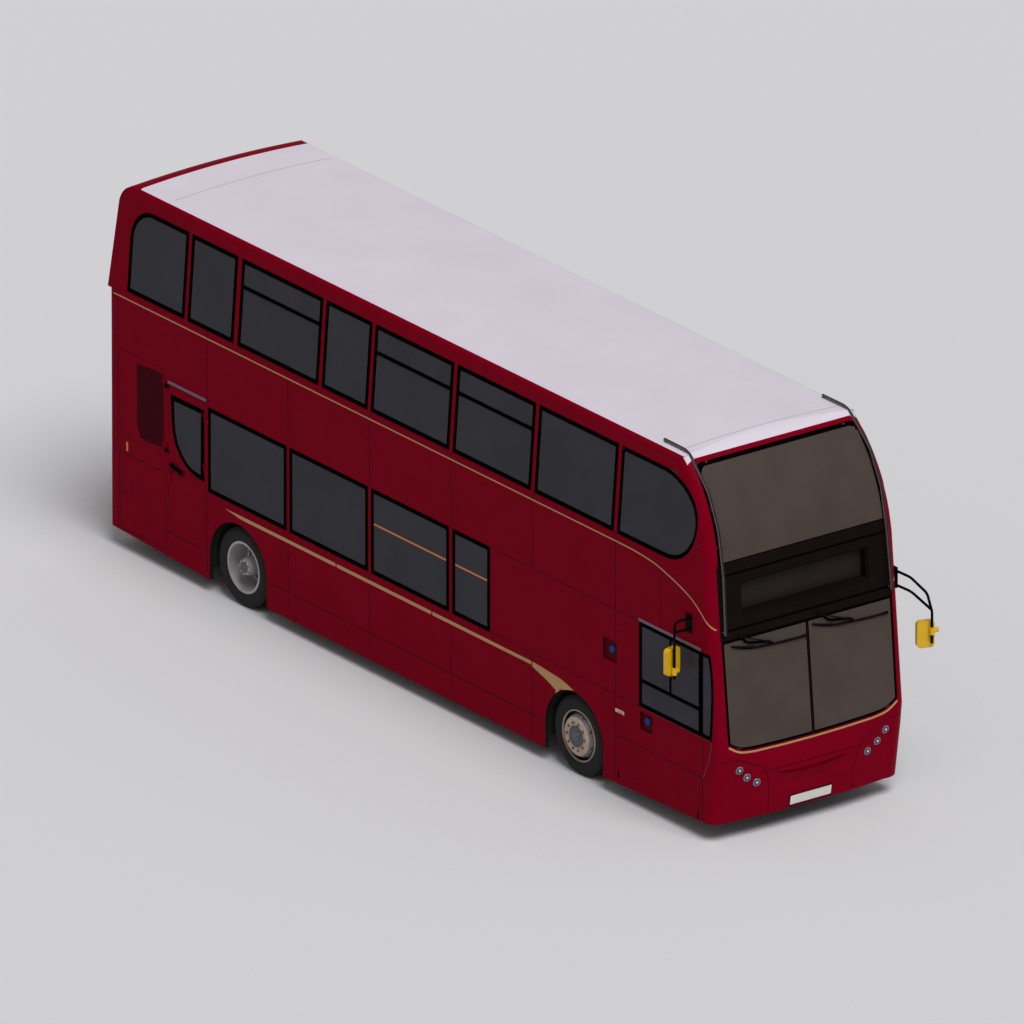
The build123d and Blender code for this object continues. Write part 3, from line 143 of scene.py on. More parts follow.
# key: name, colour, roughness range, drift, scale, grain, relief, and metallic, coat, specular if not usual
FINISHES = {
    "red": ("body_red", (128, 3, 28), (0.28, 0.36), 0.03, 1.5, 90, 0.015, 0, 0, 0.008),
    "white": ("roof_white", (224, 216, 228), (0.4, 0.55), 0.02, 1.2, 70, 0.02, 0, 0, 0.15),
    "black": ("gloss_black", (22, 16, 12), (0.3, 0.4), 0.1, 4, 80, 0.02, 0, 0, 0.02),
    "quarter": ("quarter_glass", (60, 59, 65), (0.05, 0.12), 0.06, 2, 60, 0.01, 0, 0, 0.05),
    "dome_glass": ("dome_corner_glass", (80, 70, 65), (0.05, 0.12), 0.06, 2, 60, 0.01, 0, 0, 0.05),
    "chassis": ("chassis_black", (44, 44, 47), (0.5, 0.75), 0.2, 5, 120, 0.2),
    "iron": ("cast_iron", (92, 94, 98), (0.5, 0.8), 0.2, 8, 150, 0.4, 0.4),
    "floor": ("floor_sheet", (92, 94, 102), (0.55, 0.7), 0.12, 20, 220, 0.2),
    "lining": ("inner_lining", (186, 182, 178), (0.5, 0.65), 0.05, 3, 90, 0.1),
    "plastic": ("black_plastic", (34, 34, 36), (0.5, 0.65), 0.12, 6, 260, 0.25),
    "fabric": ("seat_moquette", (70, 52, 110), (0.85, 0.95), 0.3, 60, 500, 0.5),
    "tyre": ("tyre_rubber", (32, 32, 34), (0.75, 0.9), 0.12, 10, 180, 0.3),
    "wheel": ("wheel_paint", (176, 172, 174), (0.35, 0.5), 0.1, 8, 120, 0.1, 0.1),
    "frame": ("door_frame_grey", (60, 60, 64), (0.35, 0.5), 0.1, 5, 120, 0.1),
    "tube": ("tube_black", (30, 27, 27), (0.3, 0.45), 0.1, 9, 150, 0.1, 0, 0, 0.15),
    "yellow": ("mirror_yellow", (226, 178, 8), (0.3, 0.4), 0.04, 6, 120, 0.05, 0, 0.3, 0.3),
    "lamp": ("lamp_lens", (214, 218, 226), (0.08, 0.15), 0.08, 20, 60, 0.1, 0, 0.6, 0.3),
    "orange": ("rail_orange", (205, 112, 14), (0.3, 0.4), 0.05, 10, 120, 0.05, 0, 0.3, 0.3),
    "rubber": ("seal_black", (6, 5, 6), (0.5, 0.6), 0.15, 12, 140, 0.1, 0, 0, 0.0),
    "joint": ("joint_dark", (46, 1, 10), (0.5, 0.6), 0.1, 8, 90, 0.05, 0, 0, 0.05),
    "seam": ("seam_grey", (168, 160, 168), (0.5, 0.6), 0.05, 8, 90, 0.05),
    "gold": ("lining_gold", (184, 143, 96), (0.3, 0.4), 0.04, 8, 90, 0.03, 0, 0, 0.1),
    "trim": ("drip_rail_grey", (112, 84, 104), (0.35, 0.5), 0.06, 8, 90, 0.05),
    "plate": ("plate_blank", (226, 222, 214), (0.3, 0.4), 0.02, 8, 120, 0.03),
    "clear": ("repeater_lens", (196, 178, 172), (0.1, 0.2), 0.05, 20, 200, 0.1, 0, 0.5, 0.3),
    "seam_dim": ("seam_dim", (120, 60, 84), (0.5, 0.6), 0.05, 8, 90, 0.05, 0, 0, 0.05),
    # crease: darker red for the shade along bumper creases (painted shade)
    "crease": ("crease_red", (116, 3, 25), (0.4, 0.5), 0.05, 8, 90, 0.02, 0, 0, 0.02),
    "amber": ("marker_amber", (206, 112, 10), (0.15, 0.25), 0.05, 20, 200, 0.1, 0, 0.5, 0.3),
    "chrome": ("bezel_bright", (128, 130, 144), (0.12, 0.25), 0.06, 20, 200, 0.05, 0.6),
    "lens": ("lens_glass", (52, 60, 86), (0.04, 0.1), 0.25, 40, 160, 0.3, 0, 0.3, 0.3),
    "display": ("display_glass", (42, 36, 33), (0.3, 0.4), 0.06, 2, 200, 0.02, 0, 0, 0.04),
    "nut": ("nut_steel", (128, 126, 124), (0.25, 0.45), 0.12, 20, 200, 0.1, 0.8),
    "hub": ("hub_steel", (94, 94, 101), (0.3, 0.5), 0.15, 20, 200, 0.1, 0.4),
    "arm": ("arm_black", (10, 9, 9), (0.4, 0.5), 0.15, 9, 150, 0.1, 0, 0, 0.02),
    # edge: lighter grey for the lit sides of the front guards (painted highlight)
    "edge": ("guard_edge", (92, 86, 89), (0.4, 0.5), 0.1, 9, 150, 0.1, 0, 0, 0.05),
    "lip": ("rim_lip", (168, 146, 130), (0.35, 0.5), 0.1, 9, 150, 0.1, 0.1),
    "barrel": ("nave_side", (122, 124, 130), (0.35, 0.5), 0.1, 9, 150, 0.1, 0.1),
    # well: near-black painted shade for arch edges and the rim well
    "well": ("rim_well", (34, 32, 32), (0.6, 0.8), 0.15, 9, 150, 0.1, 0, 0, 0.02),
    "nave": ("nave_paint", (186, 164, 146), (0.35, 0.5), 0.12, 9, 150, 0.15, 0.1),
    # groove: near-black painted shade for tread sipes and hand holes
    "groove": ("tread_groove", (14, 14, 15), (0.7, 0.9), 0.1, 9, 150, 0.1, 0, 0, 0.05),
    # pocket: darker red that stands for the shade in recesses (painted shade)
    "pocket": ("pocket_dark", (84, 3, 20), (0.4, 0.5), 0.08, 8, 90, 0.05, 0, 0, 0.02),
    # louvre: darker red for the shade between the slats (painted shade)
    "louvre": ("louvre_dark", (64, 2, 14), (0.4, 0.5), 0.08, 8, 90, 0.05, 0, 0, 0.02),
    "rear_red": ("rear_lamp_red", (170, 8, 10), (0.1, 0.2), 0.1, 20, 120, 0.1, 0, 0.4, 0.3),
    "reflector": ("lamp_reflector", (222, 228, 236), (0.08, 0.15), 0.05, 30, 160, 0.1, 0, 0.4, 0.3),
    "mirror": ("mirror_glass", (150, 158, 168), (0.02, 0.05), 0.04, 3, 60, 0.01, 0.9),
    "cap": ("cap_blue", (0, 70, 132), (0.3, 0.4), 0.06, 20, 200, 0.1, 0, 0, 0.04),
}
materials = {key: surface(name, srgb(*colour), *rest) for key, (name, colour, *rest) in FINISHES.items()}
materials["glass"] = tinted_glass("tinted_glass", srgb(60, 59, 65), 0.94)
materials["screen"] = tinted_glass("windscreen_glass", srgb(80, 70, 65), 0.95)


def sides(*names):
    """Left and right node of each name."""
    return [f"{name}_{side}" for name in names for side in ("left", "right")]


finish = {
    "red": sides("side_lower", "side_upper") + [
        "rear_panel", "engine_cover", "emergency_door", "grille_door", "front_panel", "front_dome"],
    "white": ["roof_panel"],
    "black": ["front_band", "destination_display", "wipers"],
    "glass": sides("side_windows") + [
        "rear_window", "door_glass_front", "door_glass_rear", "emergency_glass"],
    "screen": ["windscreens"],
    "chassis": ["chassis_frame", "front_axle_beam", "rear_axle"] + sides("knuckle"),
    "iron": ["engine_block"],
    "floor": ["lower_floor", "upper_floor", "staircase"],
    "lining": ["engine_bulkhead"],
    "plastic": ["wheel_boxes", "dashboard", "steering_wheel"],
    "fabric": sides("seats_lower", "seats_upper"),
    "tyre": sides("tyre_front", "tyre_rear"),
    "wheel": sides("wheel_front", "wheel_rear"),
    "frame": ["cab_enclosure", "door_leaf_front", "door_leaf_rear", "door_arm_front", "door_arm_rear"],
    "arm": ["mirror_arms", "hinges"],
    "tube": ["front_guards"],
    "yellow": ["mirror_heads"],
    "lamp": ["lamps"],
    "orange": ["handrails"],
    "cap": ["filler_caps"],
}
for key, names in finish.items():
    for name in names:
        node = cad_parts[name]
        node.data.materials.clear()
        node.data.materials.append(materials[key])


def paint(name, key, test):
    """Second finish on the faces of a node whose centre and normal pass a test."""
    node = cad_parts[name]
    node.data.materials.append(materials[key])
    slot = len(node.data.materials) - 1
    for polygon in node.data.polygons:
        centre = node.matrix_world @ polygon.center
        normal = node.matrix_world.to_3x3() @ polygon.normal
        if test(centre, normal):
            polygon.material_index = slot


def within(low, high):
    """Test for a place inside a box of row coordinates."""
    return lambda centre, normal: all(low[i] <= centre[i] <= high[i] for i in range(3))


def wheel_centre(name):
    """Middle of a wheel in the plane of the bus's length and height."""
    low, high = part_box(name)
    return Vector(((low[0] + high[0]) / 2, 0, (low[2] + high[2]) / 2))


def turned_about(name, low, high, out):
    """Test for a place between two radii of a wheel and beyond a distance from the middle of the bus."""
    centre = wheel_centre(name)
    return lambda spot, normal: (
        low < math.hypot(spot.x - centre.x, spot.z - centre.z) < high and abs(spot.y) > out)


def arch_reveal(axle):
    """Test for the edge of the panel round a wheel arch, which gets near-black painted shade."""
    x = REAR + axle
    return lambda spot, normal: (
        abs(normal.y) < 0.5 and abs(spot.x - x) < 0.54 and 0.2 < spot.z < 1.0
        and (math.hypot(spot.x - x, spot.z - WHEEL_Z) < 0.535 or spot.z < WHEEL_Z))


SKIN_DEPTH = 0.003
FILLER_POCKETS = ((9.054, 9.304, 1.568, 1.817), (9.724, 9.946, 0.945, 1.155))
EMERGENCY_FRONT = -4.3
# Recessed faces of the filler pockets get the darker red: painted shade in the pockets.
for x0, x1, z0, z1 in FILLER_POCKETS:
    low = (REAR + x0 - 0.01, -HALF + SKIN_DEPTH, z0 - 0.01)
    paint("side_lower_right", "pocket", within(low, (REAR + x1 + 0.01, -HALF + 0.06, z1 + 0.01)))
# Grille door faces inside the louvred field get the darker red: painted shade of the louvres.
paint("grille_door", "louvre", within((REAR + 0.53, -HALF + SKIN_DEPTH, 1.42), (REAR + 1.03, 0, 2.32)))
paint("hinges", "red", lambda spot, normal: spot.x > EMERGENCY_FRONT)
display_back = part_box("destination_display")[0][0] + 0.06
paint("destination_display", "display", lambda spot, normal: normal.x > 0.9 and spot.x < display_back)
paint("lamps", "rear_red", lambda spot, normal: spot.x < 0)
# Arch edges get near-black: painted shade inside the wheel arches.
for name in sides("side_lower"):
    for axle in (REAR_AXLE, FRONT_AXLE):
        paint(name, "well", arch_reveal(axle))
# Sideways faces of the front guards get a lighter grey: painted highlight of their lit side.
paint("front_guards", "edge", lambda spot, normal: abs(normal.y) > 0.6)
# Front wheels: near-black painted shade in the rim well, tyre black on the outer ring.
for name in sides("wheel_front"):
    paint(name, "well", turned_about(name, 0.2, 0.275, 1.05))
    paint(name, "tyre", turned_about(name, 0.275, 0.31, 1.15))

# ---- trim laid on the skin
SIGHT = {
    "right": lambda a, b: (Vector((a, -4, b)), Vector((0, 1, 0))),
    "left": lambda a, b: (Vector((a, 4, b)), Vector((0, -1, 0))),
    "front": lambda a, b: (Vector((9, a, b)), Vector((-1, 0, 0))),
    "rear": lambda a, b: (Vector((-9, a, b)), Vector((1, 0, 0))),
    "top": lambda a, b: (Vector((a, b, 8)), Vector((0, 0, -1))),
}


def skin_of(names):
    """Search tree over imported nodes, with the name of the node that owns each face."""
    vertices, polygons, owners = [], [], []
    for name in names:
        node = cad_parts[name]
        start = len(vertices)
        vertices += [node.matrix_world @ v.co for v in node.data.vertices]
        polygons += [[start + i for i in p.vertices] for p in node.data.polygons]
        owners += [name] * len(node.data.polygons)
    return BVHTree.FromPolygons(vertices, polygons), owners


skin, skin_owners = skin_of(sides("side_lower", "side_upper", "side_windows") + [
    "front_panel", "front_band", "front_dome", "windscreens", "rear_panel", "rear_window", "roof_panel",
    "emergency_door", "emergency_glass", "grille_door", "engine_cover", "destination_display", "lamps"])


def owner_at(view, point):
    """Name of the node seen at a place of the skin."""
    index = skin.ray_cast(*SIGHT[view](*point))[2]
    return None if index is None else skin_owners[index]


GAP, STEEP = 0.007, 0.25  # reach of the neighbour rays; least slope of a face that turns the trim


def on_skin(view, point, lift, tree=None):
    """Point of the skin seen along a main direction, raised by lift, and the same point just under the skin.
    Thin gaps between panels are bridged."""
    origin, direction = SIGHT[view](*point)
    search = tree or skin
    place, normal, _, reach = search.ray_cast(origin, direction)
    near = []
    for a, b in ((GAP, 0), (-GAP, 0), (0, GAP), (0, -GAP)):
        _, facing, _, far = search.ray_cast(SIGHT[view](point[0] + a, point[1] + b)[0], direction)
        if far is not None:
            near.append((far, facing))
    near.sort(key=lambda pair: pair[0])
    if len(near) > 1 and near[1][0] - near[0][0] < 0.01 and (place is None or reach - near[1][0] > 0.012):
        place, normal = origin + direction * (near[0][0] + near[1][0]) / 2, near[0][1]
    if place is None:
        return None
    if normal.dot(direction) > 0:
        normal = -normal
    if -normal.dot(direction) < STEEP:
        normal = -direction
    return place + normal * lift, place - normal * 0.001


def between(a, b, share):
    """Place between two places in a view."""
    return tuple(a[m] + (b[m] - a[m]) * share for m in range(2))


def resample(points, step):
    """Evenly spaced points along a polyline."""
    result = []
    for (ax, az), (bx, bz) in zip(points, points[1:]):
        count = max(1, round(math.hypot(bx - ax, bz - az) / step))
        result += [(ax + (bx - ax) * k / count, az + (bz - az) * k / count) for k in range(count)]
    return result + [points[-1]]


def even(line, like):
    """A line cut into as many points as another."""
    count = len(like)
    lengths = [0.0]
    for a, b in zip(line, line[1:]):
        lengths.append(lengths[-1] + math.hypot(b[0] - a[0], b[1] - a[1]))
    result = []
    for k in range(count):
        want = lengths[-1] * k / (count - 1)
        i = max(n for n in range(len(line) - 1) if lengths[n] <= want + 1e-9)
        share = (want - lengths[i]) / max(lengths[i + 1] - lengths[i], 1e-9)
        result.append(between(line[i], line[i + 1], share))
    return result


def smooth(points, count=8):
    """Curve through a few points."""
    result = []
    padded = [points[0]] + points + [points[-1]]
    for p0, p1, p2, p3 in zip(padded, padded[1:], padded[2:], padded[3:]):
        for k in range(count):
            t = k / count
            result.append(tuple(
                0.5 * (2 * p1[i] + (p2[i] - p0[i]) * t + (2 * p0[i] - 5 * p1[i] + 4 * p2[i] - p3[i]) * t ** 2
                       + (3 * p1[i] - p0[i] - 3 * p2[i] + p3[i]) * t ** 3) for i in range(2)))
    return result + [points[-1]]


def rounded(x0, x1, z0, z1, radii, count=8):
    """Rounded rectangle; radii at (x0,z0), (x1,z0), (x1,z1), (x0,z1)."""
    corners = ((x0, z0, 180, 1, 1), (x1, z0, 270, -1, 1), (x1, z1, 0, -1, -1), (x0, z1, 90, 1, -1))
    points = []
    for (x, z, start, sx, sz), radius in zip(corners, radii):
        for k in range(count + 1):
            turn = math.radians(start + 90 * k / count)
            points.append((x + sx * radius + radius * math.cos(turn),
                           z + sz * radius + radius * math.sin(turn)))
    return points


def linked(name, data):
    """New object in the scene."""
    piece = bpy.data.objects.new(name, data)
    bpy.context.scene.collection.objects.link(piece)
    return piece


def mesh_object(name, vertices, faces, material, body=BODY, smooth_shade=False):
    """New piece that rides on a body."""
    mesh = bpy.data.meshes.new(name)
    mesh.from_pydata([tuple(v) for v in vertices], [], faces)
    mesh.update()
    mesh.materials.append(materials[material])
    if smooth_shade:
        mesh.polygons.foreach_set("use_smooth", [True] * len(mesh.polygons))
    piece = linked(name, mesh)
    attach(piece, body)
    return piece


COLUMN = 0.018  # widest column of a strip; below, heights of the trim over the skin
FLUSH, LAID, PAINTED, PRINTED, BAR = 0.0012, 0.0014, 0.0016, 0.003, 0.006


class Pile:
    """Loose shapes gathered into one mesh."""

    def __init__(self):
        self.vertices, self.faces = [], []

    def add(self, vertices, faces, matrix=None):
        """A shape joins, moved by a matrix where there is one."""
        start = len(self.vertices)
        self.vertices += [matrix @ v if matrix else v for v in vertices]
        self.faces += [tuple(start + i for i in face) for face in faces]

    def make(self, name, material, body=BODY, smooth_shade=False):
        """The gathered piece."""
        return mesh_object(name, self.vertices, self.faces, material, body, smooth_shade)


class Trim(Pile):
    """Strips laid on the skin, or on a tree of some other nodes."""

    def __init__(self, tree=None):
        super().__init__()
        self.tree = tree

    def strip(self, view, side_a, side_b, lift, closed=False):
        """Raised strip between two lines of the same number of points."""
        width = max(math.hypot(a[0] - b[0], a[1] - b[1]) for a, b in zip(side_a, side_b))
        columns = max(1, math.ceil(width / COLUMN))
        rows = []
        for a, b in zip(side_a, side_b):
            spots = [on_skin(view, between(a, b, k / columns), lift, self.tree) for k in range(columns + 1)]
            rows.append(None if None in spots else [spots[0][1]] + [s[0] for s in spots] + [spots[-1][1]])
        if closed:
            rows.append(rows[0])
        size = columns + 3
        for row, following in zip(rows, rows[1:]):
            if row is None or following is None:
                continue
            start = len(self.vertices)
            self.vertices += row + following
            for i in range(size - 1):
                self.faces.append((start + i, start + i + 1, start + size + i + 1, start + size + i))

    def line(self, view, points, width, lift, step=0.06):
        """Strip of even width along a line."""
        path = resample(points, step)
        side_a, side_b = [], []
        for i, (x, z) in enumerate(path):
            before, after = path[max(i - 1, 0)], path[min(i + 1, len(path) - 1)]
            dx, dz = after[0] - before[0], after[1] - before[1]
            size = math.hypot(dx, dz) or 1
            nx, nz = -dz / size * width / 2, dx / size * width / 2
            side_a.append((x + nx, z + nz))
            side_b.append((x - nx, z - nz))
        self.strip(view, side_a, side_b, lift)

    def ring(self, view, outer, inner, lift):
        """Frame between two closed outlines of the same number of points."""
        dense_a, dense_b = [], []
        for a, next_a, b, next_b in zip(outer, outer[1:] + outer[:1], inner, inner[1:] + inner[:1]):
            parts = max(1, round(math.hypot(next_a[0] - a[0], next_a[1] - a[1]) / 0.03))
            for k in range(parts):
                dense_a.append(between(a, next_a, k / parts))
                dense_b.append(between(b, next_b, k / parts))
        self.strip(view, dense_a, dense_b, lift, closed=True)


def placed(points):
    """(station, z) points turned into row (x, z)."""
    return [(REAR + x, z) for x, z in points]


def lined(name, material, rows, body=BODY):
    """Piece made of lines, from (view, points, width, lift, step) rows."""
    trim = Trim()
    for row in rows:
        trim.line(*row)
    trim.make(name, material, body)


# ---- side glazing frames
SILL, HEAD = 3.098, 4.1
LOW_SILL, LOW_HEAD = 1.2, 2.196
CORNER = 0.006
BORDER = 0.047
UPPER = [(1.472, 2.308), (2.393, 3.869), (3.938, 4.769), (4.834, 6.257), (6.328, 7.741), (7.812, 9.235)]
HOPPERS = [UPPER[1], UPPER[3], UPPER[4]]
LOWER_BOTH = [(1.851, 3.29), (3.35, 4.782), (4.844, 6.261)]
LOWER = {"right": LOWER_BOTH + [(6.327, 7.006)], "left": LOWER_BOTH + [(6.327, 7.741), (7.812, 9.235)]}


def window_frame(trim, view, x0, x1, z0, z1, radii):
    """Black frame printed on the edge of a pane."""
    grow = 0.004
    x0, x1 = REAR + x0, REAR + x1
    outer = rounded(x0 - grow, x1 + grow, z0 - grow, z1 + grow, [r + grow for r in radii])
    radii = [max(r - BORDER, 0.004) for r in radii]
    inner = rounded(x0 + BORDER, x1 - BORDER, z0 + BORDER, z1 - BORDER, radii)
    trim.ring(view, outer, inner, PRINTED)


CAB_OUTER = [
    (9.706, 1.209), (10.817, 1.209), (11.013, 1.212), (11.023, 1.366), (11.026, 1.507), (11.027, 1.633),
    (11.022, 1.758), (11.015, 1.868), (11.003, 1.977), (10.99, 2.086), (10.968, 2.199), (10.5, 2.2),
    (9.706, 2.2),
]
CAB_INNER = [
    (9.759, 1.256), (10.8, 1.256), (10.987, 1.256), (10.996, 1.386), (11.003, 1.501), (11.004, 1.613),
    (11.004, 1.726), (10.997, 1.836), (10.988, 1.946), (10.973, 2.055), (10.951, 2.158), (10.5, 2.155),
    (9.759, 2.155),
]
PATCH_EDGE = [
    (11.012, 1.56), (11.01, 1.64), (11.008, 1.72), (11.006, 1.8), (11.004, 1.88), (10.995, 1.96),
    (10.982, 2.06), (10.962, 2.17),
]
CAB_BARS = (
    ([(10.82, LOW_SILL + 0.02), (10.82, LOW_HEAD - 0.02)], 0.07),
    ([(9.74, 1.52), (10.8, 1.52)], 0.04),
    ([(10.273, 1.53), (10.273, LOW_HEAD - 0.02)], 0.028),
)
QUARTER_OUTER = [
    (9.302, 4.102), (10.125, 4.102), (10.275, 4.073), (10.392, 4.037), (10.488, 3.988), (10.569, 3.926),
    (10.63, 3.85), (10.671, 3.776), (10.699, 3.699), (10.708, 3.602), (10.692, 3.495), (10.651, 3.381),
    (10.581, 3.273), (10.498, 3.196), (10.412, 3.147), (10.324, 3.112), (10.233, 3.097), (10.098, 3.094),
    (9.302, 3.094),
]
QUARTER_INNER = [
    (9.35, 4.055), (10.071, 4.057), (10.186, 4.045), (10.303, 4.013), (10.41, 3.967), (10.495, 3.912),
    (10.57, 3.848), (10.622, 3.78), (10.652, 3.7), (10.666, 3.612), (10.659, 3.523), (10.623, 3.423),
    (10.565, 3.325), (10.492, 3.252), (10.407, 3.196), (10.319, 3.164), (10.23, 3.148), (10.116, 3.144),
    (9.35, 3.142),
]
SURROUND = 0.085
quarters, surrounds = Trim(), Trim()


def quarter_light(view, frames):
    """Frame of the front quarter light, glass look where it turns the corner, body colour round it."""
    frames.ring(view, placed(QUARTER_OUTER), placed(QUARTER_INNER), PRINTED)
    beyond = []
    for k in range(2, 17):
        (ax, az), (x, z), (bx, bz) = QUARTER_OUTER[k - 1:k + 2]
        run, rise = bx - ax, bz - az
        size = math.hypot(run, rise)
        beyond.append((x - rise / size * SURROUND, z + run / size * SURROUND))
    edge = resample(placed(QUARTER_OUTER[2:17]), 0.03)
    surrounds.strip(view, edge, even(placed(beyond), edge), 0.0045)
    outer, inner = [], []
    for x, z in resample(QUARTER_OUTER[3:11], 0.03):
        station = 10.3
        while station < x and "windows" in (owner_at(view, (REAR + station, z)) or ""):
            station += 0.004
        if station < x - 0.02:
            outer.append((x - 0.01, z))
            inner.append((station - 0.006, z))
    if len(outer) > 1:
        quarters.strip(view, placed(outer), placed(inner), LAID)


for view in ("right", "left"):
    frames = Trim()
    quarter_light(view, frames)
    for x0, x1 in UPPER:
        window_frame(frames, view, x0, x1, SILL, HEAD, [CORNER] * 4)
    window_frame(frames, view, 0.361, 1.408, SILL, HEAD, [CORNER, CORNER, CORNER, 0.38])
    for x0, x1 in LOWER[view]:
        window_frame(frames, view, x0, x1, LOW_SILL, LOW_HEAD, [CORNER] * 4)
    for x0, x1 in HOPPERS:
        frames.line(view, placed([(x0 + 0.03, 3.79), (x1 - 0.03, 3.79)]), 0.042, BAR)
    if view == "right":
        frames.ring(view, placed(CAB_OUTER), placed(CAB_INNER), PRINTED)
        for path, width in CAB_BARS:
            frames.line(view, placed(path), width, BAR)
        quarters.strip(view, placed(PATCH_EDGE), placed([(10.87, z) for _, z in PATCH_EDGE]), 0.002)
        corner = resample(placed(CAB_OUTER[2:11]), 0.02)
        frames.strip(view, corner, even(placed(CAB_INNER[2:11]), corner), 0.009)
    frames.make(f"window_frames_{view}", "rubber")
quarters.make("quarter_patches", "quarter")
surrounds.make("quarter_surrounds", "red")
RAIL_BANDS = [(view, placed([(start, 1.79), (stop, 1.79)]))
              for view, last in (("right", 6.955), ("left", 7.69))
              for start, stop in ((4.895, 6.21), (6.377, last))]
lined("rail_bands", "orange", [(view, path, 0.022, FLUSH) for view, path in RAIL_BANDS])

# ---- panel joints
LINE = 0.009
BAYS = (0.183, 1.828, 3.317, 4.811, 6.294, 7.782)
JOINTS = {
    "left": [
        [(0.183, 1.2), (0.183, 2.2)], [(0.97, 4.11), (0.97, 4.25)], [(3.0, 0.481), (7.95, 0.481)],
        [(1.077, 0.487), (1.825, 0.487)], [(0.0, 0.762), (0.183, 0.762)], [(0.0, 1.436), (0.183, 1.436)],
        [(0.0, 2.2), (0.183, 2.2)],
    ],
}
JOINTS["right"] = JOINTS["left"] + [
    [(7.02, 2.2), (9.7, 2.2)], [(7.02, 1.202), (9.7, 1.202)], [(9.277, 0.735), (10.849, 0.735)],
    [(9.277, 1.17), (9.277, 2.3)], [(10.092, 2.24), (10.092, 2.92)], [(10.849, 0.25), (10.849, 1.17)],
]
FLAPS = [
    [(0.214, 0.265), (0.214, 1.163), (1.064, 1.163), (1.064, 0.265), (0.214, 0.265)],
    [(0.257, 0.69), (0.438, 0.69), (0.438, 0.855), (0.257, 0.855), (0.257, 0.69)],
]
for view, bays, flaps in (("right", BAYS + (9.276,), FLAPS), ("left", BAYS, [])):
    joints = Trim()
    for station in bays:
        joints.line(view, placed([(station, 2.2), (station, 3.09)]), LINE, FLUSH)
        joints.line(view, placed([(station, 0.25), (station, 1.195)]), LINE, FLUSH)
    for path in JOINTS[view]:
        joints.line(view, placed(path), LINE, FLUSH)
    for path in flaps:
        joints.line(view, placed(path), LINE, LAID)
    joints.make(f"panel_joints_{view}", "joint")
CORNER_SEAM = [(10.86, 0.735), (10.926, 0.883), (10.97, 0.996), (11.0, 1.105), (11.008, 1.195)]
lined("corner_seam", "seam_dim", [("right", placed(CORNER_SEAM), 0.008, LAID, 0.03)])
ROOF_SEAMS = [placed([(station, -1.14), (station, 1.14)]) for station in (0.97, 10.2)]
lined("roof_seams", "seam", [("top", path, 0.008, FLUSH, 0.1) for path in ROOF_SEAMS])

# ---- gold lining
ARCH = 0.5285
THIN, BROAD = 0.015, 0.04
WAIST_END = 9.3
WAIST_CURVE = smooth([(WAIST_END, 3.0), (9.7, 2.99), (10.095, 2.938), (10.65, 2.757), (11.0, 2.49)])
STRIPE_START, STRIPE_GAPS, STRIPE_Z = 2.45, (4.2, 5.95, 7.77), 1.082
SWEEP_TOP = smooth([(7.778, 1.104), (8.05, 1.083), (8.31, 1.058), (8.59, 0.985)])
SWEEP_FOOT = smooth([(7.778, 1.044), (7.977, 0.988), (8.106, 0.945), (8.199, 0.905)])


def thinned(line):
    """Nearest points of a dense line at even steps."""
    dense = resample(placed(line), 0.02)
    return [dense[round(k / 24 * (len(dense) - 1))] for k in range(25)]


def arch_top(x, z):
    """Height of the arch's edge at a station, where it lies under z."""
    return min(z, WHEEL_Z + math.sqrt(ARCH ** 2 - (x - FRONT_AXLE) ** 2))


for view in ("right", "left"):
    gold = Trim()
    gold.line(view, placed([(0.0, 3.0), (WAIST_END, 3.0)]), THIN, PAINTED)
    gold.line(view, placed(WAIST_CURVE), THIN, PAINTED, step=0.03)
    starts = [STRIPE_START] + [gap + 0.012 for gap in STRIPE_GAPS[:-1]]
    for start, gap in zip(starts, STRIPE_GAPS):
        gold.line(view, placed([(start, STRIPE_Z), (gap - 0.012, STRIPE_Z)]), BROAD, PAINTED)
    gold.strip(view, placed([(2.166, 1.1), (STRIPE_START, 1.102)]),
               placed([(2.166, 1.098), (STRIPE_START, 1.062)]), PAINTED)
    gold.strip(view, thinned(SWEEP_TOP), thinned(SWEEP_FOOT), PAINTED)
    chord = [(8.199 + 0.391 * k / 12, 0.905 + 0.08 * k / 12) for k in range(13)]
    arc = [(x, arch_top(x, z)) for x, z in chord]
    gold.strip(view, placed([(x, z + 0.02) for x, z in chord]), placed(arc), 0.002)
    gold.make(f"gold_lining_{view}", "gold")

# ---- front
front_frames = Trim()
HALF_SCREEN = 1.155


def mirrored(points):
    """The points on the other side of the bus, in reverse order."""
    return [(-y, z) for y, z in reversed(points)]


def screen_outline(grow):
    """Outline of the driver's windscreen in (y, z), anticlockwise."""
    half = HALF_SCREEN + grow
    head = 2.341 + grow
    corner = (0.8 + grow * 0.4, 1.068 - grow)
    foot = [(-0.4, 1.055 - grow), (0, 1.05 - grow), (0.4, 1.055 - grow)]
    left = smooth([corner, (1.0 + grow * 0.7, 1.1 - grow * 0.7), (half - 0.008, 1.183 - grow * 0.3)], 6)
    return foot + left + [(half, head), (-half, head)] + mirrored(left)


def dome_outline(grow, top=1.1, radius=0.1):
    """Outline of the upper windscreen in (y, z), anticlockwise."""
    foot = 3.19 - grow
    head = 4.225 + grow
    half, top = 1.14 + grow, top + grow
    arc = []
    for degrees in range(0, 91, 10):
        turn = math.radians(degrees)
        arc.append((top - radius + radius * math.cos(turn), head - radius + radius * math.sin(turn)))
    return [(-half, foot), (half, foot)] + arc + mirrored(arc)


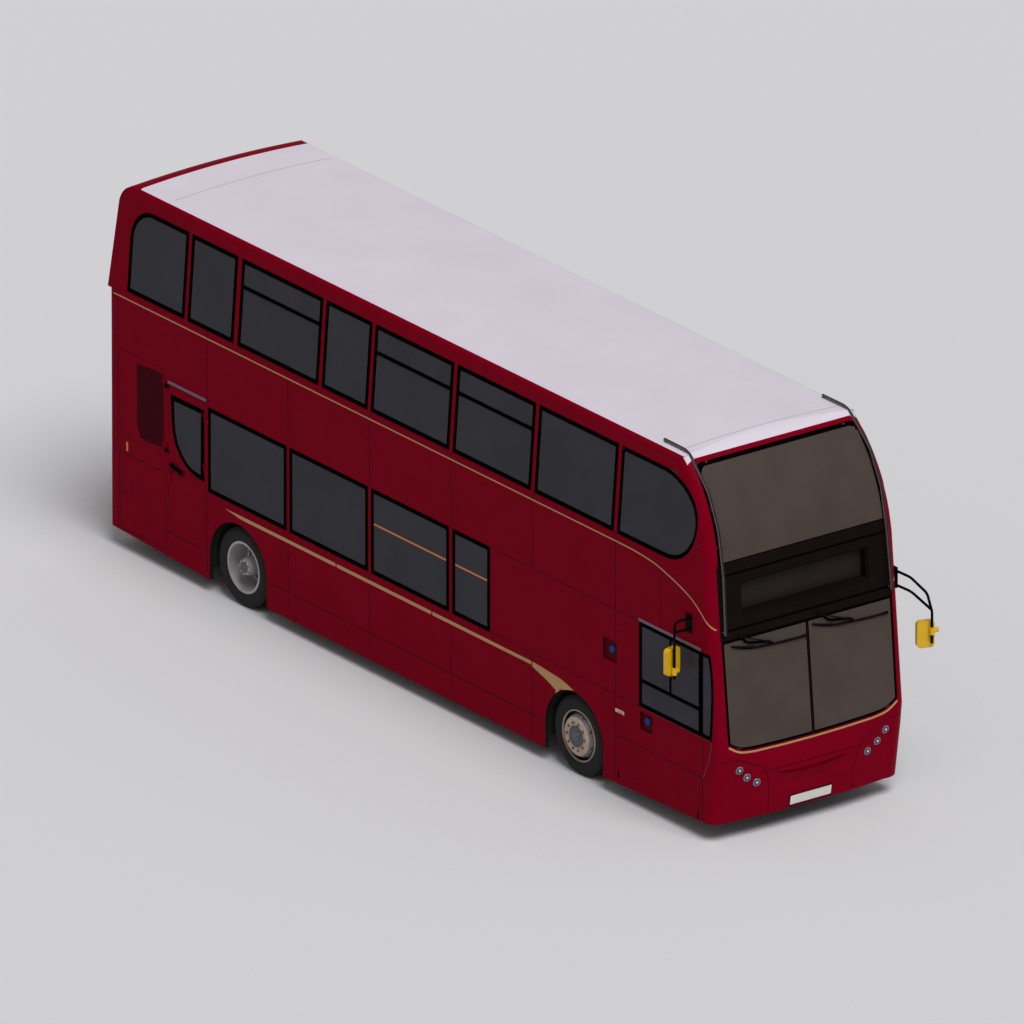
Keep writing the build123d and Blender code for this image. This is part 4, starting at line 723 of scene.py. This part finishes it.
dome_corners = Trim()
wide, narrow = dome_outline(-0.004), dome_outline(-0.012, 1.07, 0.19)
for start, stop in ((2, 12), (12, 22)):
    dome_corners.strip("front", wide[start:stop], narrow[start:stop], FLUSH)
dome_corners.make("dome_corner_panes", "dome_glass")
for outline, border in ((screen_outline, -0.026), (dome_outline, -0.035)):
    front_frames.ring("front", outline(0.004), outline(border), PRINTED)
for y in (-0.011, 0.011):
    front_frames.line("front", [(y, 1.06), (y, 2.335)], 0.014, 0.004)
for z in (2.45, 3.075):
    front_frames.line("front", [(-1.13, z), (1.13, z)], 0.018, BAR)
front_frames.make("windscreen_frames", "rubber")
lined("band_line", "black", [("front", [(-1.15, 3.182), (1.15, 3.182)], 0.064, 0.0045)])

rear_frame = Trim()
(_, low_y, low_z), (_, high_y, high_z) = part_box("rear_window")
rear_frame.ring("rear", rounded(low_y - 0.01, high_y + 0.01, low_z - 0.01, high_z + 0.01, [0.03] * 4),
                rounded(low_y + 0.045, high_y - 0.045, low_z + 0.045, high_z - 0.045, [0.02] * 4), PRINTED)
rear_frame.make("rear_window_frame", "rubber")

under = sorted((y, z - 0.035) for y, z in screen_outline(0.0) if z < 1.2)
lined("gold_line_front", "gold", [("front", under, 0.022, PAINTED)])

APRON = [
    (1.2, 0.985), (1.1, 0.984), (0.986, 0.955), (0.855, 0.9), (0.702, 0.83), (0.64, 0.752), (0.6, 0.65),
    (0.585, 0.549), (0.575, 0.4), (0.57, 0.247),
]
front_joints = Trim()
for side in (-1, 1):
    front_joints.line("front", smooth([(side * y, z) for y, z in APRON]), 0.007, LAID, step=0.03)
front_joints.line("front", [(-0.64, 0.757), (0.64, 0.757)], 0.008, LAID)
front_joints.make("front_joints", "joint")
# Darker red strips along the bumper crease and the smile under the lamps: painted shade of the creases.
crease_shading = Trim()
crease = smooth([
    (-1.2, 0.93), (-1.12, 0.86), (-0.972, 0.745), (-0.833, 0.622), (-0.519, 0.45), (-0.206, 0.385),
    (0, 0.37), (0.206, 0.38), (0.519, 0.435), (0.77, 0.542), (1.044, 0.664), (1.173, 0.749),
])
crease_shading.line("front", crease, 0.01, FLUSH, step=0.04)
SMILE_TOP = [(-0.484, 0.694), (-0.319, 0.655), (-0.095, 0.63), (0.095, 0.63), (0.319, 0.655), (0.484, 0.694)]
SMILE_FOOT = [(-0.484, 0.69), (-0.36, 0.607), (-0.133, 0.547), (0.133, 0.547), (0.36, 0.607), (0.484, 0.69)]
crease_shading.strip("front", smooth(SMILE_TOP), smooth(SMILE_FOOT), FLUSH)
crease_shading.make("bumper_crease_shade", "crease")

# blank plates
plate_rim, plates = Trim(), Trim()
for view, z, half in (("front", 0.314, 0.28), ("rear", 0.33, 0.26)):
    outer = rounded(-half - 0.008, half + 0.008, z - 0.064, z + 0.064, [0.012] * 4, 3)
    plate_rim.ring(view, outer, rounded(-half, half, z - 0.056, z + 0.056, [0.008] * 4, 3), 0.008)
    top = [(-half + 2 * half * k / 8, z + 0.056) for k in range(9)]
    plates.strip(view, top, [(y, z - 0.056) for y, _ in top], BAR)
plate_rim.make("plate_rims", "rubber")
plates.make("number_plates", "plate")

# ---- raised side fittings
DRIP_RAILS = ([(1.12, 2.268), (1.83, 2.268)], [(9.71, 2.222), (10.83, 2.222)])
lined("drip_rails", "trim", [("right", placed(path), 0.03, 0.012) for path in DRIP_RAILS])


def turns(count):
    """Angles evenly spaced round a circle."""
    return [2 * math.pi * k / count for k in range(count)]


def bands(rings, sides):
    """Faces between rings of points, each ring joined to the next."""
    faces = []
    for start in range(0, (rings - 1) * sides, sides):
        for k in range(sides):
            n = (k + 1) % sides
            faces.append((start + k, start + n, start + sides + n, start + sides + k))
    return faces


def turned(centre, axis, rings, sides):
    """Points of rings about an axis, from (radius, height) pairs."""
    side = axis.orthogonal().normalized()
    other = axis.cross(side)
    points = []
    for radius, height in rings:
        for turn in turns(sides):
            points.append(centre + axis * height + (side * math.cos(turn) + other * math.sin(turn)) * radius)
    return points


def disc(centre, axis, radius, depth, bevel, sides, dish):
    """Round button with a bevelled or dished face: vertices and faces."""
    rings = [(radius, 0.0), (radius, depth - bevel), (radius - bevel, depth), (radius * 0.45, depth - dish)]
    vertices = turned(centre, axis, rings, sides) + [centre + axis * (depth - dish)]
    faces = bands(len(rings), sides)
    last = (len(rings) - 1) * sides
    for k in range(sides):
        faces.append((last + k, last + (k + 1) % sides, len(vertices) - 1))
    return vertices, faces


def slab(x0, x1, y0, y1, z0, z1, bevel):
    """Block with chamfered edges on its four long sides: vertices and faces."""
    outline = [(y0 + bevel, z0), (y1 - bevel, z0), (y1, z0 + bevel), (y1, z1 - bevel), (y1 - bevel, z1),
               (y0 + bevel, z1), (y0, z1 - bevel), (y0, z0 + bevel)]
    vertices = [Vector((x, y, z)) for x in (x0, x1) for y, z in outline]
    return vertices, bands(2, 8) + [tuple(range(7, -1, -1)), tuple(range(8, 16))]


# side lamps: repeater ahead of the wheel and an amber marker at the rear
repeaters, markers = Trim(), Trim()
for view in ("right", "left"):
    repeaters.line(view, placed([(9.29, 1.03), (9.45, 1.03)]), 0.036, 0.01)
    markers.line(view, placed([(0.357, 1.205), (0.357, 1.315)]), 0.026, 0.008)
    markers.line(view, placed([(9.345, 1.027), (9.425, 1.027)]), 0.016, 0.013)
repeaters.make("side_repeaters", "clear")
markers.make("side_markers", "amber")

SLOTS = (("right", 9.334), ("right", 10.77), ("left", 7.9))
lined("skirt_slots", "rubber",
      [(view, placed([(station, 0.235), (station, 0.325)]), 0.022, 0.002) for view, station in SLOTS])

# ---- headlamps
bezels, lenses, bulbs = Pile(), Pile(), Pile()
LAMPS = [(0.994, 0.846), (0.887, 0.735), (0.753, 0.648)]
LAMP_PARTS = (  # pile, distance out, then radius, depth, bevel, sides and dish
    (bezels, 0.0, (0.048, 0.006, 0.003, 28, 0.0)),
    (lenses, 0.0062, (0.034, 0.004, 0.002, 28, 0.002)),
    (bulbs, 0.0084, (0.013, 0.004, 0.003, 20, -0.001)),
)
for side in (-1, 1):
    for y, z in LAMPS:
        spot, under = on_skin("front", (side * y, z), 0.0)
        normal = (spot - under).normalized()
        for pile, out, shape in LAMP_PARTS:
            pile.add(*disc(spot + normal * out, normal, *shape))
bezels.make("lamp_bezels", "chrome")
lenses.make("lamp_lenses", "lens", smooth_shade=True)
bulbs.make("lamp_bulbs", "reflector", smooth_shade=True)

# ---- wheel nuts, hub caps and rims
WHEELS = {f"wheel_{end}_{hand}": (f"{end}_{hand}_wheel", side)
          for end in ("front", "rear") for hand, side in (("left", 1), ("right", -1))}


def nut(centre, axis, radius, height):
    """Hexagonal nut with a domed stud end."""
    levels = [(radius, 0), (radius, height * 0.7), (radius * 0.8, height), (radius * 0.45, height),
              (radius * 0.45, height * 1.5), (radius * 0.3, height * 1.65)]
    vertices = turned(centre, axis, levels, 6)
    return vertices, bands(len(levels), 6) + [tuple(range(len(vertices) - 6, len(vertices)))]


def beside(centre, side, radius, turn, out=3):
    """Place at a radius and angle about a wheel's axis, a distance out from the middle of the bus."""
    return centre + Vector((radius * math.cos(turn), side * out, radius * math.sin(turn)))


def lathe(centre, side, profile, sides):
    """Turned shape about a wheel's axis from (radius, distance outward) pairs: vertices and faces."""
    vertices = [Vector((centre.x + r * math.cos(turn), side * out, centre.z + r * math.sin(turn)))
                for r, out in profile for turn in turns(sides)]
    faces = bands(len(profile), sides)
    if profile[-1][0] < 0.06:
        faces.append(tuple(range(len(vertices) - sides, len(vertices))))
    return vertices, faces


NAVE_SIDE = [(0.268, 1.128), (0.264, 1.15), (0.25, 1.19), (0.232, 1.226), (0.221, 1.239)]
NAVE = [(0.2212, 1.2385), (0.215, 1.246), (0.204, 1.251), (0.19, 1.252), (0.128, 1.252), (0.12, 1.246)]
NAVE_HUB = [
    (0.122, 1.243), (0.12, 1.257), (0.112, 1.261), (0.098, 1.26), (0.09, 1.253), (0.066, 1.254),
    (0.062, 1.261), (0.05, 1.264),
]
LIP = [
    (0.3, 1.196), (0.298, 1.212), (0.294, 1.22), (0.288, 1.222), (0.283, 1.217), (0.28, 1.205),
    (0.279, 1.196),
]
TURNED = (("nave", "nave", NAVE, 48), ("nave_side", "barrel", NAVE_SIDE, 48), ("rim_lip", "lip", LIP, 72))
for name, (body, side) in WHEELS.items():
    centre = wheel_centre(name)
    tree = skin_of([name])[0]
    tyre_tree = skin_of([name.replace("wheel", "tyre")])[0]
    outward = Vector((0, side, 0))
    label = name[6:]
    nuts, cap, holes = Pile(), Pile(), Pile()
    if "front" in name:
        for piece_name, key, profile, count in TURNED:
            shape = lathe(centre, side, profile, count)
            mesh_object(f"{piece_name}_{label}", *shape, key, body, smooth_shade=True)
        # Hand holes are near-black discs: painted shade of the openings.
        for k in range(8):
            turn = math.radians(26 + 45 * k)
            slope = Vector((0.9 * math.cos(turn), 0.45 * side, 0.9 * math.sin(turn))).normalized()
            seat = beside(centre, side, 0.2435, turn, 1.203)
            holes.add(*disc(seat - slope * 0.002, slope, 0.019, 0.004, 0.003, 20, 0.003))
        cap.add(*lathe(centre, side, NAVE_HUB, 40))
        for turn in turns(10):
            nuts.add(*nut(beside(centre, side, 0.156, turn, 1.2515), outward, 0.017, 0.016))
        for turn in turns(12):
            cap.add(*nut(beside(centre, side, 0.105, turn, 1.26), outward, 0.007, 0.006))
    else:
        for turn in turns(10):
            place = tree.ray_cast(beside(centre, side, 0.15, turn), -outward)[0]
            nuts.add(*nut(place - outward * 0.002, outward, 0.019, 0.022))
        place = tree.ray_cast(centre + outward * 3, -outward)[0]
        cap.add(*disc(place - outward * 0.001, outward, 0.062, 0.014, 0.005, 30, 0.004))
        for k in range(8):
            place = tree.ray_cast(beside(centre, side, 0.082, 2 * math.pi * (k + 0.5) / 8), -outward)[0]
            cap.add(*nut(place - outward * 0.001, outward, 0.009, 0.008))
        # Hand holes are near-black discs: painted shade of the openings.
        for k in range(10):
            turn = math.radians(174 + 36 * k)
            place, normal, _, _ = tree.ray_cast(beside(centre, side, 0.205, turn), -outward)
            holes.add(*disc(place - normal * 0.001, normal, 0.022, 0.004, 0.003, 20, 0.003))
    holes.make(f"hand_holes_{label}", "groove", body)
    nuts.make(f"nuts_{label}", "nut", body)
    cap.make(f"hub_cap_{label}", "hub", body)

    # sidewall rings, and tread sipes as near-black strips: painted shade in the grooves
    walls = Pile()
    for radius, width, lift in ((0.332, 0.01, 0.003), (0.385, 0.006, 0.0025), (0.425, 0.006, 0.0025)):
        vertices, faces = [], []
        for turn in turns(90):
            for r, rise in ((radius - width, -0.001), (radius - width / 2, lift), (radius + width / 2, lift),
                            (radius + width, -0.001)):
                place = tyre_tree.ray_cast(beside(centre, side, r, turn), -outward)[0]
                vertices.append(place + outward * rise)
        for a in range(0, len(vertices), 4):
            b = (a + 4) % len(vertices)
            faces += [(a + m, a + m + 1, b + m + 1, b + m) for m in range(3)]
        walls.add(vertices, faces)
    walls.make(f"sidewall_{label}", "tyre", body, smooth_shade=True)
    (_, ty0, _), (_, ty1, _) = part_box(name.replace("wheel", "tyre"))
    outer_y = ty1 if side > 0 else ty0
    sipes = Pile()
    for k in range(72):
        for start, stop, lean in ((0.03, 0.095, 0.35), (0.18, 0.245, -0.35)):
            vertices = []
            for m in range(3):
                across = start + (stop - start) * m / 2
                for half in (-0.0035, 0.0035):
                    turn = 2 * math.pi * k / 72 + lean * (across - start) + half / 0.46
                    way = Vector((math.cos(turn), 0, math.sin(turn)))
                    origin = centre + way * 0.7
                    origin.y = outer_y - side * across
                    place = tyre_tree.ray_cast(origin, -way)[0]
                    vertices.append(place + way * 0.0006)
            sipes.add(vertices, [(0, 1, 3, 2), (2, 3, 5, 4)])
    sipes.make(f"tread_{label}", "groove", body)

# ---- emergency door and grille door
LIGHT_OUTER = [
    (1.777, 1.292), (1.777, 1.7), (1.777, 2.134), (1.48, 2.134), (1.16, 2.134), (1.17, 1.96), (1.18, 1.83),
    (1.196, 1.7), (1.243, 1.565), (1.337, 1.443), (1.43, 1.37), (1.512, 1.33), (1.631, 1.3),
]
LIGHT_INNER = [
    (1.712, 1.35), (1.717, 1.7), (1.72, 2.08), (1.48, 2.076), (1.219, 2.072), (1.224, 1.96), (1.231, 1.84),
    (1.243, 1.718), (1.284, 1.595), (1.37, 1.48), (1.452, 1.412), (1.528, 1.376), (1.631, 1.354),
]
light_frame, light_surround, handle_pocket = Trim(), Trim(), Trim()
light_frame.ring("right", placed(LIGHT_OUTER), placed(LIGHT_INNER), PRINTED)
light_frame.make("emergency_light_frame", "rubber", "emergency_door")
PANE_EDGE = [
    (1.158, 1.96), (1.158, 1.83), (1.158, 1.68), (1.166, 1.54), (1.205, 1.43), (1.28, 1.35), (1.39, 1.302),
    (1.631, 1.29), (1.777, 1.29),
]
light_surround.strip("right", placed(LIGHT_OUTER[5:] + LIGHT_OUTER[:1]), placed(PANE_EDGE), 0.002)
light_surround.make("emergency_light_surround", "red", "emergency_door")
# Flat dark-red patch on the door under the handle: painted shade of the handle recess.
handle_pocket.strip("right", placed([(1.15, 1.345), (1.425, 1.349)]),
                    placed([(1.145, 1.213), (1.417, 1.214)]), 0.0015)
handle_pocket.make("emergency_handle_pocket_shade", "pocket", "emergency_door")
HANDLE = [(1.15, 1.3), (1.25, 1.285), (1.37, 1.262)]
lined("emergency_handle", "rubber", [("right", placed(HANDLE), 0.036, 0.014)], "emergency_door")
GRILLE = [(0.541, 2.305), (1.024, 2.327), (1.024, 1.449), (0.66, 1.424), (0.541, 1.57)]


def grille_span(z):
    """First and last station of the louvred field at a height, and None outside it."""
    cuts = []
    for (ax, az), (bx, bz) in zip(GRILLE, GRILLE[1:] + GRILLE[:1]):
        if min(az, bz) <= z < max(az, bz):
            cuts.append(ax + (bx - ax) * (z - az) / (bz - az))
    return (min(cuts), max(cuts)) if len(cuts) > 1 else None


# Louvre rows are real slats, coloured with the darker red that paints in the shade between them.
louvres = Pile()
PITCH = 0.029
for k in range(31):
    top = 2.325 - k * PITCH
    foot = max(top - PITCH, 1.426)
    head, tail = grille_span(top), grille_span(foot)
    if head is None or tail is None:
        continue
    profile = [(head, top, 0.001), (tail, foot + 0.004, 0.005), (tail, foot + 0.001, 0.0046),
               (tail, foot, 0.001)]
    vertices = [Vector((REAR + start + (stop - start) * m / 8, -HALF - out, z))
                for (start, stop), z, out in profile for m in range(9)]
    louvres.add(vertices, [(a, a + 1, a + 10, a + 9) for row in (0, 9, 18) for a in range(row, row + 8)])
louvres.make("grille_louvres", "louvre", "grille_door")

# ---- entrance door rubbers
door_tree = skin_of(["door_leaf_front", "door_leaf_rear"])[0]
LEAVES = (("door_leaf_front", "front_leaf", 0.01, -0.012), ("door_leaf_rear", "rear_leaf", 0.012, -0.01))
for leaf, body, rear_in, front_in in LEAVES:
    (lx0, _, lz0), (lx1, _, lz1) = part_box(leaf)
    rubber = Trim(door_tree)
    for x in (lx0 + rear_in, lx1 + front_in):
        rubber.line("left", [(x, lz0 + 0.01), (x, lz1 - 0.01)], 0.014, 0.002)
    for z in (lz0 + 0.012, lz1 - 0.012):
        rubber.line("left", [(lx0 + 0.01, z), (lx1 - 0.01, z)], 0.014, 0.002)
    rubber.make(f"rubbers_{body}", "rubber", body)

# ---- wiper blades and arms
BLADE = [(-1.034, 2.269), (-0.86, 2.213), (-0.685, 2.188), (-0.287, 2.165), (-0.015, 2.168)]
ARM = [(-0.896, 2.345), (-0.812, 2.268), (-0.66, 2.24), (-0.527, 2.214), (-0.486, 2.178)]
wiper_rubbers = Trim()
for shift in (0.0, 1.105):
    for path, width, lift in ((BLADE, 0.02, 0.016), (ARM, 0.024, 0.022)):
        wiper_rubbers.line("front", smooth([(y + shift, z) for y, z in path]), width, lift, step=0.04)
wiper_rubbers.make("wiper_blades", "rubber")

# ---- seats: frames and cushions
def islands(node):
    """Boxes round the loose parts of a node, as (low, high) pairs."""
    mesh = bmesh.new()
    mesh.from_mesh(node.data)
    bmesh.ops.remove_doubles(mesh, verts=mesh.verts, dist=0.00002)
    mesh.verts.ensure_lookup_table()
    seen, boxes = set(), []
    for first in mesh.verts:
        if first.index in seen:
            continue
        stack, members = [first], []
        seen.add(first.index)
        while stack:
            vertex = stack.pop()
            members.append(node.matrix_world @ vertex.co)
            for edge in vertex.link_edges:
                other = edge.other_vert(vertex)
                if other.index not in seen:
                    seen.add(other.index)
                    stack.append(other)
        low = Vector([min(m[i] for m in members) for i in range(3)])
        high = Vector([max(m[i] for m in members) for i in range(3)])
        boxes.append((low, high))
    mesh.free()
    return boxes


mirror_glass = Trim(skin_of(["mirror_heads"])[0])
for low, high in islands(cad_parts["mirror_heads"]):
    if high.z - low.z > 0.25:
        heights = [low.z + 0.025 + (high.z - low.z - 0.05) * k / 10 for k in range(11)]
        left, right = ([(y, z) for z in heights] for y in (low.y + 0.03, high.y - 0.03))
        mirror_glass.strip("rear", left, right, 0.002)
mirror_glass.make("mirror_glass", "mirror")


def cushion_mesh(width, length, thickness, crown):
    """Crowned pad, its sides pulled in between the corners, with a sewn channel down the middle."""
    across, along = 12, 8
    vertices, faces = [], []
    for layer in (1, -1):
        for j in range(along + 1):
            for i in range(across + 1):
                u, v = 2 * i / across - 1, 2 * j / along - 1
                pull = 1 - 0.03 * (1 - v * v) * (1 if abs(u) > 0.99 else abs(u))
                pull_v = 1 - 0.04 * (1 - u * u) * abs(v)
                edge = (1 - u ** 6) * (1 - v ** 6)
                height = thickness / 2 * (0.45 + 0.55 * edge ** 0.5)
                if layer > 0:
                    height = height + crown * (1 - u * u) * (1 - v * v) - 0.012 * math.exp(-(u * 9) ** 2)
                vertices.append(Vector((v * length / 2 * pull_v, u * width / 2 * pull, layer * height)))
    row = across + 1
    sheet = row * (along + 1)
    for j in range(along):
        for a in range(j * row, j * row + across):
            faces.append((a, a + 1, a + row + 1, a + row))
            faces.append((sheet + a, sheet + a + row, sheet + a + row + 1, sheet + a + 1))
    border = list(range(row)) + [j * row + across for j in range(1, along + 1)]
    border += [along * row + i for i in range(across - 1, -1, -1)]
    border += [j * row for j in range(along - 1, 0, -1)]
    for a, b in zip(border, border[1:] + border[:1]):
        faces.append((a, sheet + a, sheet + b, b))
    return vertices, faces


def cushion(name, centre, tilt, width, length, thickness, crown):
    """One cushion as its own piece, tilted about the cross axis."""
    vertices, faces = cushion_mesh(width, length, thickness, crown)
    matrix = Matrix.Translation(centre) @ Matrix.Rotation(tilt, 4, "Y")
    piece = mesh_object(name, [matrix @ v for v in vertices], faces, "fabric", BODY, smooth_shade=True)
    smoother = piece.modifiers.new("smooth", "SUBSURF")
    smoother.levels = smoother.render_levels = 1


SEAM = 0.03
SINGLE = 0.6
for node_name in sides("seats_lower", "seats_upper"):
    shells = Pile()
    for index, (low, high) in enumerate(sorted(islands(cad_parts[node_name]), key=lambda b: b[0].x)):
        middle = (low.y + high.y) / 2
        width = high.y - low.y
        single = width < SINGLE
        seat_z = low.z + (0.36 if single else 0.355) * (high.z - low.z)
        back_low = Vector((low.x + 0.16, middle, seat_z + 0.06))
        back_high = Vector((low.x + 0.045, middle, high.z - 0.03))
        back_length = (back_high - back_low).length
        lean = math.atan2(back_low.x - back_high.x, back_high.z - back_low.z)
        seats = 1 if single else 2
        each = width / seats
        for seat in range(seats):
            y = low.y + each * (seat + 0.5)
            label = f"{node_name}_{index}_{seat}"
            centre = Vector((low.x + 0.35, y, seat_z + 0.02))
            cushion(f"{label}_base", centre, -0.04, each - SEAM, 0.42, 0.09, 0.015)
            centre = (back_low + back_high) / 2 + Vector((0.035, y - middle, 0.01))
            cushion(f"{label}_back", centre, math.pi / 2 - lean, each - SEAM, back_length, 0.07, 0.012)
        # pan under the cushions, board behind the back, leg and foot
        pan_z = seat_z - 0.05
        shells.add(*slab(low.x + 0.12, high.x - 0.01, low.y + 0.01, high.y - 0.01, pan_z, seat_z - 0.025,
                         0.008))
        board = slab(-0.012, 0.012, low.y + 0.005, high.y - 0.005, 0, back_length + 0.05, 0.008)
        place = Matrix.Translation(Vector((back_low.x - 0.03, 0, back_low.z - 0.04)))
        shells.add(*board, place @ Matrix.Rotation(-lean, 4, "Y"))
        for x0, x1, half, top, bevel in (
                (0.25, 0.4, 0.05, seat_z - 0.045, 0.01), (0.22, 0.43, 0.12, low.z + 0.012, 0.004)):
            shells.add(*slab(low.x + x0, low.x + x1, middle - half, middle + half, low.z, top, bevel))
    frame_piece = shells.make(f"{node_name}_frames", "plastic")
    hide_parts(node_name)

# ---- camera, light and floor
SENSOR = 36.0
LENS = 1640.0
VIEW_WIDTH = 11.191
VIEW_AXIS = Vector((4, -3, 2)).normalized()
target = at(5.707, 0, 1.887)
camera_data = bpy.data.cameras.new("camera")
camera_data.type = "PERSP"
camera_data.lens = LENS
camera_data.sensor_width = SENSOR
camera_data.clip_start = 10
camera_data.clip_end = 4000
camera = linked("camera", camera_data)
camera.location = target + VIEW_AXIS * (VIEW_WIDTH * LENS / SENSOR)
camera.rotation_euler = (-VIEW_AXIS).to_track_quat("-Z", "Y").to_euler()
bpy.context.scene.camera = camera


def sun(name, direction, strength, spread):
    """Wide soft light from one direction."""
    data = bpy.data.lights.new(name, "SUN")
    data.energy = strength
    data.angle = math.radians(spread)
    linked(name, data).rotation_euler = Vector(direction).to_track_quat("Z", "Y").to_euler()


sun("key", (0.5, -0.1, 0.86), 2.1, 35)

world = bpy.data.worlds.new("world")
bpy.context.scene.world = world
world.use_nodes = True
set_inputs(world.node_tree.nodes["Background"], Color=(1, 1, 1, 1), Strength=0.28)

FLOOR_HALF = 60
FLOOR_COLOUR = (0.74, 0.74, 0.76, 1)
floor_mesh = bpy.data.meshes.new("floor")
floor_mesh.from_pydata(
    [(FLOOR_HALF * x, FLOOR_HALF * y, 0) for x, y in ((-1, -1), (1, -1), (1, 1), (-1, 1))],
    [], [(0, 1, 2, 3)])
floor = linked("floor", floor_mesh)
floor_mesh.materials.append(surface("floor_pale", FLOOR_COLOUR, (0.8, 0.8), 0, 1, 5, 0, specular=0))

bpy.context.scene.view_settings.view_transform = "Standard"
